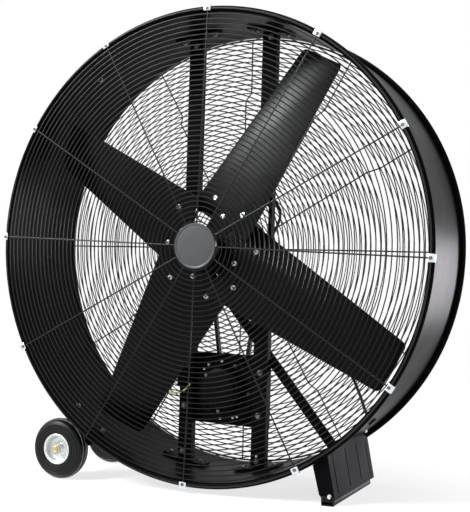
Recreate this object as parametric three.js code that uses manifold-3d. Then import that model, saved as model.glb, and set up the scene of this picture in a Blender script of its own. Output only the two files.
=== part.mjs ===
// A belt-driven drum fan on two wheels and a fixed foot.
// Millimetres, +Z up. The air leaves towards -Y, so -Y is the front. The origin is on the floor,
// under the middle of the drum. The fan's own axis runs along Y, at axisHeight.
import * as THREE from 'three';
import { mergeVertices } from 'three/addons/utils/BufferGeometryUtils.js';
import Module from 'manifold-3d';

const wasm = await Module();
wasm.setup();
const { Manifold, Mesh: SolidMesh } = wasm;
const degrees = THREE.MathUtils.degToRad;

// ---------------------------------------------------------------- driving dimensions
const seat = 0.3; // gap kept between pieces that touch
const over = 1; // how far a cutting tool reaches past what it cuts

// Drum
const drumInnerRadius = 550;
const drumWall = 2.8;
const drumDepth = 295;
const beadDiameter = 15; // rolled edge at both ends of the drum
const floorClearance = 12; // between the drum's rolled edge and the floor
const lean = degrees(2.7); // the struts lean over this far, top towards +X
const drumFacets = 56;

// Guards
const wire = 4;
const guardSpokes = 12;
const frontGuardTurn = degrees(-4.1);
const rearGuardTurn = degrees(-2.4);
const guardHubRadius = 46; // innermost ring of both guards
const guardFineRadius = 400; // rings larger than this have more edges
const frontRingPitch = 102;
const rearRingPitch = 84;
const rearStepRadius = 381; // the rear guard steps forwards inside this radius
const rearStep = 33;
const rearStepRun = 26; // how far out the step reaches
const rearGuardInset = 7.5; // rear guard's face inside the drum's rear end
const badgeRadius = 54;
const badgeThickness = 3.5;
const badgeRim = 5; // raised edge
const clipWidth = 18;
const spokeWithoutClip = 8; // the one beside the front wheel
const clipSheet = 2.5;
const clipReach = 6; // how far a clip reaches over the bead, along Y
const clipInset = 5.5; // how far a clip reaches inwards from the bead's crest
const clipScrewRadius = 4;
const clipScrewHeight = 2.5;

// Struts that carry the fan and the motor
const strutSpacing = 203;
const strutWidth = 38;
const strutDepth = 20;
const strutSheet = 3;
const strutFrontY = 13;
const reliefStart = 28; // the struts are cut back above and below the bearing bridge
const reliefEnd = 104;
const reliefStrip = 9; // what is left of the strut beside a relief
const footPlate = 6;
const footArc = 118;
const footPlateDepth = 40;
const footTab = 62;

// Bearings and their bridges
const bridgeSheet = 5;
const bridgeEndHalf = 22;
const bridgeMiddleHalf = 50;
const bridgeShoulder = 12; // beyond the bearing's flange, before the plate narrows
const bridgeHole = 4; // clearance round the shaft
const bearingFlangeRadius = 45;
const bearingFlange = 7;
const bearingHubRadius = 29;
const bearingLength = 16;
const shaftRadius = 12.5;
const shaftFrontY = -125;
const shaftRearY = 92;

// Blades
const bladeCount = 4;
const bladeTurn = degrees(58.8); // rest position of the first blade
const bladeTipRadius = 520;
const bladeRootRadius = 62;
const bladeSheet = 3;
const bladePitch = degrees(16.2);
const bladeCone = degrees(6.5); // the blades lean back towards their tips
const bladeApexY = -95;
const bladeLeadingRoot = 106.5; // half widths on the two sides of the blade's centre line
const bladeLeadingTip = 46;
const bladeTrailingRoot = 98.7;
const bladeTrailingTip = 78.7;
const armSheet = 5;
const armRootHalf = 26;
const armFlareHalf = 36;
const armTipHalf = 66;
const armFlareStart = 81;
const armFlareEnd = 99;
const armTipRadius = 127;
const hubBossRadius = 32;
const hubBossFrontY = -118;
const hubBossRearY = -62;
const shaftNutRadius = 19;
const shaftNutHeight = 10;

// Belt drive
const beltY = 72; // middle of the belt
const beltWidth = 12;
const beltThickness = 8;
const drivenGrooveRadius = 74;
const motorGrooveRadius = 24;
const pulleyLip = 10; // height of a pulley's flange above its groove
const pulleyCheek = 3.5;
const pulleyRimWall = 8; // below the groove of the hollowed pulley
const beltPlay = 0.5; // on each side of the belt
const drivenPulleyHub = 26;
const motorPulleyHub = 18;
const pulleyHubLength = 24;
const pulleyWeb = 6;

// Motor
const motorDrop = 353; // motor axis below the fan axis, along the struts
const motorRadius = 56;
const motorShellWall = 4;
const motorFrontY = -16;
const motorBellDepth = 15;
const motorBellSheet = 6;
const motorBellRound = 3;
const motorBellNoseRadius = 46;
const motorRearY = 60;
const motorFlange = 5;
const motorFlangeGap = 2.5; // between the motor's flange and the struts
const motorShaftRadius = 8;
const motorShaftRearY = 88;
const rotorCoreRadius = 32;
const coreInset = 6; // the laminated core ends before the bells
const airGap = 1;
const motorPlateSheet = 4;
const motorPlateHeight = 177;

// Terminal box, lead and gland
const boxWidth = 47;
const boxHeight = 36;
const boxDepth = 30;
const boxWall = 2;
const boxOverhang = 21.5; // how far the box stands out beyond the motor plate
const boxTopAboveMotor = 32;
const leadRadius = 3.75;
const earthRadius = 1.6;
const glandAngle = degrees(-45.2);
const glandY = 10; // behind the blades, which pass in front of it
const glandNutRadius = 11;
const glandNutLength = 9;
const glandTailLength = 4;
const glandNeckRadius = 7.5;

// Diagonal brace behind the struts
const braceWidth = 25;
const braceSheet = 5;
const braceTop = new THREE.Vector2(-101.5, -15);
const braceFootAngle = degrees(-58.6);
const braceFootArc = 60;
const braceFootDepth = 30;

// Wheels, axle and foot
const wheelRadius = 76;
const wheelWidth = 48;
const wheelClearance = 7; // between a tyre and the drum's rolled edge
const treadHalf = 8; // half width of the tyre's flat tread
const treadShoulder = 5; // the tread's edges are rounded off by this much
const treadEdge = 8;
const sidewall = 14;
const wheelMiddleY = 117;
const rimRadius = 38.5;
const rimSheet = 2.5;
const rimBarrelRadius = 34.5;
const rimHubRadius = 14;
const axleRadius = 7;
const axleCapRadius = 12;
const axleCapLength = 7;
const axleCapWall = 2;
const axleCapBevel = 3;
const rimInset = 1.5; // the rim's faces inside the tyre's
const hangerSheet = 6;
const hangerY = 69; // middle of the hanger plate
const hangerReach = 37; // length of the hanger's saddle along Y
const hangerArc = degrees(16.5);
const hangerBossRadius = 17;
const saddleSheet = 4;
const footOuterAngle = degrees(-55.4); // where the foot's side plate meets the drum
const footSplay = degrees(9); // the side plate leans outwards towards the floor
const footFlangeWidth = 52;
const footDepth = 276;
const footSheet = 3;
const footFloorWidth = 28; // folded edge that the skid is fixed to
const footChamfer = 9; // at the bottom of the flanges' inner edge
const footShoulder = 78; // above the bottom, where the flanges reach their full width
const footCreases = [-0.4, -0.1, 0.18, 0.42]; // shares of the depth, from the middle
const creaseDepth = 1;
const creaseHalf = 2;
const creaseLow = 12; // above the foot's bottom
const creaseHigh = 96;
const skidHeight = 13;
const skidWidth = 30;
const skidInset = 1.5; // the skid lies inside the side plate's face
const skidShort = 20; // and ends before the foot's rear end
const bootSheet = 4; // the skid turns up in front of the foot
const bootRise = 8;

// ---------------------------------------------------------------- sizes worked out from those
const drumHalf = drumDepth / 2;
const drumOuterRadius = drumInnerRadius + drumWall;
const beadRadius = beadDiameter / 2;
const beadCentreRadius = drumInnerRadius + beadRadius;
const beadOuterRadius = drumInnerRadius + beadDiameter;
const beadCentreY = drumHalf - beadRadius;
const axisHeight = beadOuterRadius + floorClearance; // fan axis above the floor
const facetFactor = Math.cos(Math.PI / drumFacets);
const insideRadius = drumInnerRadius * facetFactor - seat; // clears the drum's flats everywhere
const outsideRadius = drumOuterRadius + seat;
const guardRearFaceY = -drumHalf - seat;
const guardFrontFaceY = guardRearFaceY - wire;
const coverBackY = guardFrontFaceY - seat; // badge and clips sit on the guard's front
const frontMostY = coverBackY - clipSheet - clipScrewHeight;
const rearGuardFaceY = drumHalf - rearGuardInset;
const strutX = strutSpacing / 2;
const strutRearY = strutFrontY + strutDepth;
const strutOuterX = strutX + strutWidth / 2;
const strutInnerX = strutX - strutWidth / 2;
const footInnerRadius = insideRadius - footPlate;
const frontBridgeFaceY = strutFrontY - seat - bridgeSheet;
const rearBridgeBackY = strutRearY + seat + bridgeSheet;
const motorFlangeRadius = strutInnerX - motorFlangeGap;
const motorPlateFrontY = strutRearY + seat;
const motorPlateBackY = motorPlateFrontY + motorPlateSheet;
const braceFrontY = rearBridgeBackY + seat;
const axleDistance = beadOuterRadius + wheelClearance + wheelRadius;
const wheelZ = wheelRadius - axisHeight;
const wheelX = -Math.sqrt(axleDistance ** 2 - wheelZ ** 2);
const axleAngle = Math.atan2(wheelZ, wheelX);
const wheelHalf = wheelWidth / 2;
const rimHalf = wheelHalf - rimInset;
const capSeatY = wheelMiddleY + rimHalf + seat;
const axleEndY = capSeatY + axleCapLength;
const middleY = (frontMostY + Math.max(drumHalf, axleEndY)) / 2; // of the whole fan, front to rear
const hangerOuterRadius = outsideRadius + saddleSheet;
const footTopX = outsideRadius * Math.cos(footOuterAngle);
const footTopZ = outsideRadius * Math.sin(footOuterAngle);
const footBottomZ = -axisHeight + skidHeight;
const footFaceX = (z) => footTopX + (footTopZ - z) * Math.tan(footSplay);
const footOuterX = footFaceX(footBottomZ);

// ---------------------------------------------------------------- materials
function paint(color, roughness, metalness) {
  return new THREE.MeshStandardMaterial({ color, roughness, metalness });
}
const blackGloss = paint(0x141516, 0.28, 0.2);
const blackSatin = paint(0x1b1c1e, 0.5, 0.2);
const blackWire = paint(0x17181a, 0.4, 0.4);
const darkBlade = paint(0x2a2c2f, 0.45, 0.3);
const badgeGrey = paint(0x55565a, 0.4, 0.1);
const zinc = paint(0xc9ccd0, 0.35, 0.9);
const whiteRim = paint(0xe4e6e4, 0.35, 0.4);
const steel = paint(0x8d9094, 0.35, 0.9);
const rubber = paint(0x1a1a1b, 0.85, 0);
const brass = paint(0xc9ad62, 0.35, 0.9);
const copper = paint(0x9a5b32, 0.5, 0.7);
const earthYellow = paint(0xc8c23a, 0.5, 0);

// ---------------------------------------------------------------- shape helpers

// Shared vertices, no flat triangles and faces pointing out, whichever way a profile was drawn.
function welded(source) {
  const bare = source.index ? source.toNonIndexed() : source.clone();
  bare.deleteAttribute('normal');
  bare.deleteAttribute('uv');
  const geometry = mergeVertices(bare, 1e-4);
  const corners = geometry.index.array;
  const place = geometry.attributes.position;
  const points = [new THREE.Vector3(), new THREE.Vector3(), new THREE.Vector3()];
  const kept = [];
  let volume = 0;
  for (let i = 0; i < corners.length; i += 3) {
    const [a, b, c] = [corners[i], corners[i + 1], corners[i + 2]];
    if (a === b || b === c || a === c) continue;
    points.forEach((point, k) => point.fromBufferAttribute(place, corners[i + k]));
    volume += points[0].dot(points[1].clone().cross(points[2]));
    kept.push(a, b, c);
  }
  if (volume < 0) {
    for (let i = 0; i < kept.length; i += 3) [kept[i], kept[i + 1]] = [kept[i + 1], kept[i]];
  }
  geometry.setIndex(kept);
  return geometry;
}

function solid(geometry) {
  const clean = welded(geometry);
  return new Manifold(new SolidMesh({
    numProp: 3,
    vertProperties: new Float32Array(clean.attributes.position.array),
    triVerts: new Uint32Array(clean.index.array),
  }));
}

const join = (...geometries) => geometries.map(solid).reduce((sum, next) => sum.add(next));
const cut = (body, ...tools) => tools.map(solid).reduce((rest, tool) => rest.subtract(tool), body);

function geometryOf(shape) {
  if (shape.isBufferGeometry) return welded(shape);
  const { vertProperties, triVerts } = shape.getMesh();
  const geometry = new THREE.BufferGeometry();
  geometry.setAttribute('position', new THREE.BufferAttribute(new Float32Array(vertProperties), 3));
  geometry.setIndex([...triVerts]);
  return geometry;
}

function piece(name, shape, material) {
  const mesh = new THREE.Mesh(geometryOf(shape), material);
  mesh.name = name;
  return mesh;
}

const box = (x0, x1, y0, y1, z0, z1) => new THREE.BoxGeometry(x1 - x0, y1 - y0, z1 - z0)
  .translate((x0 + x1) / 2, (y0 + y1) / 2, (z0 + z1) / 2);

// A round bar along Y, or a round body about Y drawn as [radius, y] corners.
const bar = (radius, y0, y1, facets = 20) => new THREE.CylinderGeometry(radius, radius, y1 - y0, facets)
  .translate(0, (y0 + y1) / 2, 0);
function turned(corners, facets = 24) {
  const outline = corners.map(([radius, y]) => new THREE.Vector2(radius, y));
  return new THREE.LatheGeometry([...outline, outline[0]], facets);
}

// A flat plate in the XZ plane, between two Y values. The shape's own y is the plate's Z.
const plate = (shape, y0, y1, curveSegments = 12) => new THREE.ExtrudeGeometry(
  shape,
  { depth: y1 - y0, bevelEnabled: false, curveSegments },
).rotateX(Math.PI / 2).translate(0, y1, 0);

const vectors = (corners) => corners.map(([x, z]) => new THREE.Vector2(x, z));

// Drawn counter-clockwise, whichever way its corners were listed.
function polygon(corners) {
  const outline = vectors(corners);
  return new THREE.Shape(THREE.ShapeUtils.isClockWise(outline) ? outline.reverse() : outline);
}

const polar = (radius, angle) => [radius * Math.cos(angle), radius * Math.sin(angle)];
const turnedTo = (geometry, angle) => geometry.rotateY(-angle); // from +X towards +Z

function arc(radius, start, end, steps) {
  return Array.from({ length: steps + 1 }, (_, i) => polar(radius, start + (end - start) * (i / steps)));
}

// A curved plate between two radii. Its hollow side clears a round of the inner radius.
function curvedPlate(inner, outer, start, end, y0, y1) {
  const steps = Math.max(2, Math.ceil(Math.abs(end - start) / degrees(2.5)));
  const hollow = inner / Math.cos(Math.abs(end - start) / steps / 2);
  return plate(polygon([...arc(outer, start, end, steps), ...arc(hollow, end, start, steps)]), y0, y1);
}

function roundHole(x, z, radius) {
  const hole = new THREE.Path();
  hole.absarc(x, z, radius, 0, 2 * Math.PI, true);
  return hole;
}

// A short bar pointing out from the drum's axis, between two radii.
function radialBar(radius, from, to, angle, y, facets) {
  const shape = new THREE.CylinderGeometry(radius, radius, to - from, facets).rotateZ(Math.PI / 2);
  return turnedTo(shape.translate((from + to) / 2, y, 0), angle);
}

// ---------------------------------------------------------------- drum

function drumShell() {
  const mouth = Math.acos((drumWall - beadRadius) / beadRadius);
  const eighths = Array.from({ length: 7 }, (_, i) => Math.PI / 2 - i * (Math.PI / 4));
  const bead = [mouth, ...eighths].map((angle) => [
    beadCentreRadius + beadRadius * Math.cos(angle),
    -beadCentreY + beadRadius * Math.sin(angle),
  ]);
  const rearBead = bead.map(([radius, y]) => [radius, -y]).reverse();
  const wall = solid(turned([...bead, ...rearBead], drumFacets));
  const span = [insideRadius - over, outsideRadius + over];
  return cut(wall, radialBar(glandNeckRadius + seat, ...span, glandAngle, glandY, 12));
}

// What the drum takes up outside, a seat larger, in the upright frame.
function drumRoom() {
  const far = drumHalf + 50;
  const beadStart = drumHalf - beadDiameter - seat;
  const overBead = beadOuterRadius + seat;
  return turned([
    [0, -far], [overBead, -far], [overBead, -beadStart], [outsideRadius, -beadStart],
    [outsideRadius, beadStart], [overBead, beadStart], [overBead, far], [0, far],
  ], drumFacets).rotateY(lean);
}

// ---------------------------------------------------------------- guards

// Ring radii from the innermost to the outermost, near the pitch asked for.
function ringRadii(inner, outer, pitch) {
  const gaps = Math.max(1, Math.round((outer - inner) / pitch));
  return Array.from({ length: gaps + 1 }, (_, i) => inner + (outer - inner) * (i / gaps));
}

// A flat grille of rings and spokes: one round plate with a window in each gap.
function grille(radii, turn, y0, y1) {
  const sector = (2 * Math.PI) / guardSpokes;
  const steps = (radius) => (radius > guardFineRadius ? 3 : 2); // edges of a ring between two spokes
  const circle = (radius, offset) => arc(
    radius + offset,
    turn,
    turn + 2 * Math.PI,
    guardSpokes * steps(radius),
  ).slice(0, -1);
  const shape = polygon(circle(radii.at(-1), wire / 2));
  shape.holes.push(new THREE.Path(vectors(circle(radii[0], -wire / 2))));
  for (let ring = 1; ring < radii.length; ring += 1) {
    const inner = radii[ring - 1] + wire / 2;
    const outer = radii[ring] - wire / 2;
    for (let spoke = 0; spoke < guardSpokes; spoke += 1) {
      const start = turn + spoke * sector;
      const window = [
        ...arc(inner, start + wire / 2 / inner, start + sector - wire / 2 / inner, steps(radii[ring - 1])),
        ...arc(outer, start + sector - wire / 2 / outer, start + wire / 2 / outer, steps(radii[ring])),
      ];
      shape.holes.push(new THREE.Path(vectors(window)));
    }
  }
  return plate(shape, y0, y1);
}

const frontGuard = () => grille(
  ringRadii(guardHubRadius, beadCentreRadius, frontRingPitch),
  frontGuardTurn,
  guardFrontFaceY,
  guardRearFaceY,
);

function rearGuard() {
  const discY = rearGuardFaceY - rearStep;
  const outer = insideRadius - wire / 2;
  const rim = ringRadii(rearStepRadius + rearStepRun, outer, rearRingPitch);
  const disc = ringRadii(guardHubRadius, rearStepRadius, rearRingPitch);
  const from = disc.at(-1) - wire / 2;
  const to = rim[0] + wire / 2;
  const jog = polygon([[from, discY], [from, discY - wire],
    [to, rearGuardFaceY - wire], [to, rearGuardFaceY]]);
  const links = Array.from({ length: guardSpokes }, (_, i) => turnedTo(
    new THREE.ExtrudeGeometry(jog, { depth: wire, bevelEnabled: false }).translate(0, 0, -wire / 2),
    rearGuardTurn + i * ((2 * Math.PI) / guardSpokes),
  ));
  return join(
    grille(rim, rearGuardTurn, rearGuardFaceY - wire, rearGuardFaceY),
    grille(disc, rearGuardTurn, discY - wire, discY),
    ...links,
  );
}

function guardBadge() {
  const back = coverBackY;
  const front = back - badgeThickness;
  return turned([[0, back], [badgeRadius, back], [badgeRadius, front + 1], [badgeRadius - 1, front],
    [badgeRadius - badgeRim, front], [badgeRadius - badgeRim - 1, front + 1], [0, front + 1]]);
}

// An angle clip over the guard's outer ring and the bead, with its screw.
function guardClip() {
  const hook = beadOuterRadius + seat;
  const front = coverBackY - clipSheet;
  const section = polygon([
    [beadCentreRadius - clipInset, front], [hook + clipSheet, front],
    [hook + clipSheet, front + clipReach], [hook, front + clipReach],
    [hook, coverBackY], [beadCentreRadius - clipInset, coverBackY],
  ]);
  const angle = new THREE.ExtrudeGeometry(section, { depth: clipWidth, bevelEnabled: false })
    .translate(0, 0, -clipWidth / 2);
  const screw = bar(clipScrewRadius, frontMostY, coverBackY - clipSheet / 2, 8)
    .translate(beadCentreRadius, 0, 0);
  return join(angle, screw);
}

// ---------------------------------------------------------------- struts and what they carry

// One channel, open to the rear, drawn for the right side and mirrored for the left.
function strut(side) {
  const channel = polygon([
    [strutInnerX, strutFrontY], [strutOuterX, strutFrontY], [strutOuterX, strutRearY],
    [strutOuterX - strutSheet, strutRearY], [strutOuterX - strutSheet, strutFrontY + strutSheet],
    [strutInnerX + strutSheet, strutFrontY + strutSheet], [strutInnerX + strutSheet, strutRearY],
    [strutInnerX, strutRearY],
  ]);
  const length = 2 * drumInnerRadius;
  const long = new THREE.ExtrudeGeometry(channel, { depth: length, bevelEnabled: false })
    .translate(0, 0, -length / 2);
  const round = bar(footInnerRadius * facetFactor - seat, 0, strutRearY + over, drumFacets);
  const reliefs = [-1, 1].map((zSide) => box(
    strutInnerX - over,
    strutOuterX - reliefStrip,
    strutFrontY - over,
    strutRearY + over,
    Math.min(zSide * reliefStart, zSide * reliefEnd),
    Math.max(zSide * reliefStart, zSide * reliefEnd),
  ));
  const body = cut(solid(long).intersect(solid(round)), ...reliefs);
  return side > 0 ? body : body.mirror([1, 0, 0]);
}

// Curved plate on the drum's wall with a tab inside the end of a strut. Angles lean with the struts.
function strutFoot(xSide, zSide) {
  const height = Math.sqrt(insideRadius ** 2 - strutX ** 2);
  const angle = Math.atan2(zSide * height, xSide * strutX);
  const half = footArc / 2 / insideRadius;
  const y0 = strutFrontY + (strutDepth - footPlateDepth) / 2;
  const y1 = y0 + footPlateDepth;
  const shoe = curvedPlate(footInnerRadius, insideRadius, angle - half, angle + half, y0, y1);
  const tabHalf = strutWidth / 2 - strutSheet - seat;
  const reach = Math.sqrt(insideRadius ** 2 - (strutX + tabHalf) ** 2) - 1;
  const tabFront = strutFrontY + strutSheet + seat;
  const ends = [zSide * (reach - footTab), zSide * reach].sort((a, b) => a - b);
  const sides = [xSide * strutX - tabHalf, xSide * strutX + tabHalf];
  return join(shoe, box(...sides, tabFront, tabFront + footPlate, ...ends));
}

// Plate from strut to strut that carries one of the fan's two bearings.
function bridgePlate(y0, y1) {
  const shoulder = bearingFlangeRadius + bridgeShoulder;
  const neck = strutInnerX - 2;
  const right = [[shoulder, -bridgeMiddleHalf], [neck, -bridgeEndHalf], [strutOuterX, -bridgeEndHalf],
    [strutOuterX, bridgeEndHalf], [neck, bridgeEndHalf], [shoulder, bridgeMiddleHalf]];
  const left = right.map(([x, z]) => [-x, z]).reverse();
  const shape = polygon([...right, ...left]);
  shape.holes.push(roundHole(0, 0, shaftRadius + bridgeHole));
  return plate(shape, y0, y1);
}

// Flanged bearing against a bridge; direction is -1 for the front one and 1 for the rear one.
function flangeBearing(faceY, direction) {
  const at = (distance) => faceY + direction * (seat + distance);
  return turned([[shaftRadius + seat, at(0)], [bearingFlangeRadius, at(0)],
    [bearingFlangeRadius, at(bearingFlange - 1)], [bearingFlangeRadius - 1, at(bearingFlange)],
    [bearingHubRadius, at(bearingFlange)], [bearingHubRadius - 2, at(bearingLength)],
    [shaftRadius + seat, at(bearingLength)]]);
}

function diagonalBrace() {
  const y0 = braceFrontY;
  const y1 = y0 + braceSheet;
  const foot = new THREE.Vector2(...polar(footInnerRadius + 1, braceFootAngle));
  const along = foot.clone().sub(braceTop);
  const length = along.length();
  const strap = new THREE.BoxGeometry(length + braceWidth / 2, braceSheet, braceWidth)
    .translate(length / 2 - braceWidth / 4, (y0 + y1) / 2, 0);
  turnedTo(strap, along.angle()).translate(braceTop.x, 0, braceTop.y);
  const half = braceFootArc / 2 / insideRadius;
  const shoe = curvedPlate(
    footInnerRadius,
    insideRadius,
    braceFootAngle - half,
    braceFootAngle + half,
    y0 - braceFootDepth / 2,
    y0 + braceFootDepth / 2,
  );
  const room = bar(insideRadius * facetFactor, y0 - over, y1 + over, drumFacets);
  return solid(strap).intersect(solid(room)).add(solid(shoe));
}

// ---------------------------------------------------------------- fan rotor

// From a flat blade's frame (X along it, Z across it) to its place on the rotor.
const onRotor = (geometry) => geometry.rotateX(-bladePitch).rotateZ(bladeCone).translate(0, bladeApexY, 0);
const alongBlade = (radius) => radius / Math.cos(bladeCone);

function blade() {
  const root = alongBlade(bladeRootRadius);
  const tip = alongBlade(bladeTipRadius);
  const shape = polygon([[root, -bladeTrailingRoot], [tip, -bladeTrailingTip],
    [tip, bladeLeadingTip], [root, bladeLeadingRoot]]);
  return onRotor(plate(shape, -bladeSheet / 2, bladeSheet / 2));
}

// One arm of the hub, behind the blade that it carries.
function hubArm() {
  const front = bladeSheet / 2 + seat;
  const tip = alongBlade(armTipRadius);
  const flare = [[armFlareStart, armFlareHalf], [armFlareEnd, armTipHalf]];
  const edge = [[0, armRootHalf], ...flare, [tip, armTipHalf]];
  const shape = polygon([...edge, ...edge.map(([x, z]) => [x, -z]).reverse()]);
  return onRotor(plate(shape, front, front + armSheet));
}

function fanHub() {
  const boss = solid(bar(hubBossRadius, hubBossFrontY, hubBossRearY, 24));
  const arm = solid(hubArm());
  const arms = Array.from({ length: bladeCount }, (_, i) => arm.rotate([0, i * (360 / bladeCount), 0]));
  const whole = arms.reduce((sum, next) => sum.add(next), boss);
  const far = 2 * hubBossRadius; // past the arms too
  return cut(whole, bar(shaftRadius + seat, hubBossFrontY - far, hubBossRearY + far));
}

function shaftNut() {
  const rear = hubBossFrontY - seat;
  const front = rear - shaftNutHeight;
  return cut(solid(bar(shaftNutRadius, front, rear, 6)), bar(shaftRadius + seat, front - over, rear + over));
}

// ---------------------------------------------------------------- belt drive

// Grooved pulley. A large one is hollowed to a web between its hub and its rim.
function pulley(grooveRadius, boreRadius, hubRadius, facets) {
  const lip = grooveRadius + pulleyLip;
  const half = beltWidth / 2 + beltPlay;
  const side = half + pulleyCheek;
  const rimInner = grooveRadius - pulleyRimWall;
  const hub = pulleyHubLength / 2;
  const web = pulleyWeb / 2;
  const hollow = [[rimInner, side], [rimInner, web], [hubRadius, web]];
  const step = rimInner > 2 * hubRadius ? hollow : [[hubRadius, side]];
  const cheek = [[grooveRadius, half], [lip, half], [lip, side]];
  const rear = [...cheek, ...step, [hubRadius, hub], [boreRadius, hub]];
  const front = rear.map(([radius, y]) => [radius, -y]).reverse();
  return turned([...rear, ...front].map(([radius, y]) => [radius, y + beltY]), facets);
}

// The belt's path round both pulleys at a height above their grooves.
function beltLoop(height, Kind) {
  const large = drivenGrooveRadius + height;
  const small = motorGrooveRadius + height;
  const slope = Math.asin((small - large) / motorDrop);
  const loop = new Kind();
  loop.absarc(0, 0, large, slope, Math.PI - slope, false);
  loop.absarc(0, -motorDrop, small, Math.PI - slope, 2 * Math.PI + slope, false);
  loop.closePath();
  return loop;
}

function vBelt() {
  const shape = beltLoop(seat + beltThickness, THREE.Shape);
  shape.holes.push(beltLoop(seat, THREE.Path));
  return plate(shape, beltY - beltWidth / 2, beltY + beltWidth / 2, 14);
}

// ---------------------------------------------------------------- motor, drawn about its own axis

const shellFrontY = motorFrontY + motorBellDepth + seat;
const shellInner = motorRadius - motorShellWall;
const rearBellFrontY = motorRearY - motorBellDepth / 2;
const statorInner = rotorCoreRadius + airGap;
const bellNoseY = motorFrontY + motorBellSheet;
const coreFrontY = shellFrontY + coreInset;
const coreRearY = rearBellFrontY - coreInset;

const flangeRearY = motorPlateFrontY - seat;
const flangeFrontY = flangeRearY - motorFlange;

const motorShell = () => turned([[shellInner, shellFrontY], [motorRadius, shellFrontY],
  [motorRadius, flangeFrontY], [motorFlangeRadius, flangeFrontY],
  [motorFlangeRadius, flangeRearY], [motorRadius, flangeRearY],
  [motorRadius, rearBellFrontY - seat], [shellInner, rearBellFrontY - seat]]);

const motorFrontBell = () => turned([[0, motorFrontY], [motorBellNoseRadius, motorFrontY],
  [motorBellNoseRadius, bellNoseY], [motorRadius - motorBellRound, bellNoseY + motorBellRound],
  [motorRadius, bellNoseY + 2 * motorBellRound], [motorRadius, motorFrontY + motorBellDepth],
  [motorShaftRadius + seat, motorFrontY + motorBellDepth],
  [motorShaftRadius + seat, bellNoseY], [0, bellNoseY]]);

const motorRearBell = () => turned([[motorShaftRadius + seat, rearBellFrontY],
  [motorRadius, rearBellFrontY], [motorRadius, motorRearY - motorBellRound],
  [motorRadius - motorBellRound, motorRearY], [motorShaftRadius + seat, motorRearY]]);

const motorStator = () => turned([[statorInner, coreFrontY], [shellInner - seat, coreFrontY],
  [shellInner - seat, coreRearY], [statorInner, coreRearY]]);

const motorRotor = () => join(
  bar(motorShaftRadius, bellNoseY + seat, motorShaftRearY),
  bar(rotorCoreRadius, coreFrontY, coreRearY, 24),
);

function motorPlate() {
  const half = motorPlateHeight / 2;
  const shape = polygon([[-strutOuterX, -motorDrop - half], [strutOuterX, -motorDrop - half],
    [strutOuterX, -motorDrop + half], [-strutOuterX, -motorDrop + half]]);
  shape.holes.push(roundHole(0, -motorDrop, motorRadius + 1));
  return plate(shape, motorPlateFrontY, motorPlateBackY, 14);
}

// ---------------------------------------------------------------- wiring

const boxLeft = -strutOuterX - boxOverhang;
const boxTop = -motorDrop + boxTopAboveMotor;
const boxFrontY = motorPlateBackY + seat;
const boxRearY = boxFrontY + boxDepth;

const terminalBox = () => cut(
  solid(box(boxLeft, boxLeft + boxWidth, boxFrontY, boxRearY, boxTop - boxHeight, boxTop)),
  box(
    boxLeft + boxWall,
    boxLeft + boxWidth - boxWall,
    boxFrontY + boxWall,
    boxRearY + over,
    boxTop - boxHeight + boxWall,
    boxTop - boxWall,
  ),
);

const terminalBoxLid = () => box(
  boxLeft,
  boxLeft + boxWidth,
  boxRearY + seat,
  boxRearY + seat + boxWall,
  boxTop - boxHeight,
  boxTop,
);

const round = (radius, sides) => polygon(arc(radius, 0, 2 * Math.PI, sides).slice(0, -1));

function cordAlong(points, radius, sides, steps) {
  const stations = points.map((point) => new THREE.Vector3(...point));
  const extrudePath = new THREE.CatmullRomCurve3(stations, false, 'centripetal');
  return new THREE.ExtrudeGeometry(round(radius, sides), { steps, extrudePath, bevelEnabled: false });
}

const glandInnerFace = insideRadius - glandNutLength;

// From the terminal box up behind the left strut, over the bearings, and down to the drum's wall.
function motorLead() {
  const ontoWall = [[96, 2.8, 35], [68, 1.8, 28], [38, 0.9, 16], [20, 0.4, 5], [8, 0, 0], [0, 0, 0]];
  const intoGland = ontoWall.map(([away, above, behind]) => {
    const [x, z] = polar(glandInnerFace - seat - away, glandAngle + degrees(above));
    return [x, glandY + behind, z];
  });
  const boxMiddleX = boxLeft + boxWidth / 2;
  const boxMiddleY = (boxFrontY + boxRearY) / 2;
  return cordAlong([
    [boxMiddleX, boxMiddleY, boxTop + seat], [boxMiddleX, boxMiddleY + 3, -220], [-122, 56, -110],
    [-122, 54, 0], [-116, 53, 74], [-86, 52, 112], [-20, 52, 122], [60, 53, 128], [104, 54, 122],
    [125, 55, 96], [122, 55, 67], [106, 55, 32], [110, 54, -30], [150, 52, -110], [206, 50, -205],
    [236, 50, -229], [272, 50, -253], [302, 48, -274], ...intoGland,
  ], leadRadius, 8, 64);
}

// Short bare loop of earth wire round the left strut to the terminal box.
const earthWire = () => cordAlong([
  [-92, strutFrontY - seat - earthRadius, -343], [-96, 10, -353], [-104, 8, -360], [-121, 6.5, -367],
  [-139, 8, -366], [-152, 19, -361], [-157, 34, -353], [-152, boxFrontY + 12, -345],
  [boxLeft - seat, boxFrontY + 13, -344],
], earthRadius, 8, 20);

const leadGland = () => join(
  radialBar(glandNutRadius, glandInnerFace, insideRadius, glandAngle, glandY, 6),
  radialBar(glandNeckRadius, insideRadius - 1, outsideRadius + 1, glandAngle, glandY, 12),
  radialBar(glandNutRadius, outsideRadius, outsideRadius + glandTailLength, glandAngle, glandY, 6),
);

// ---------------------------------------------------------------- wheels, axle and foot

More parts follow.
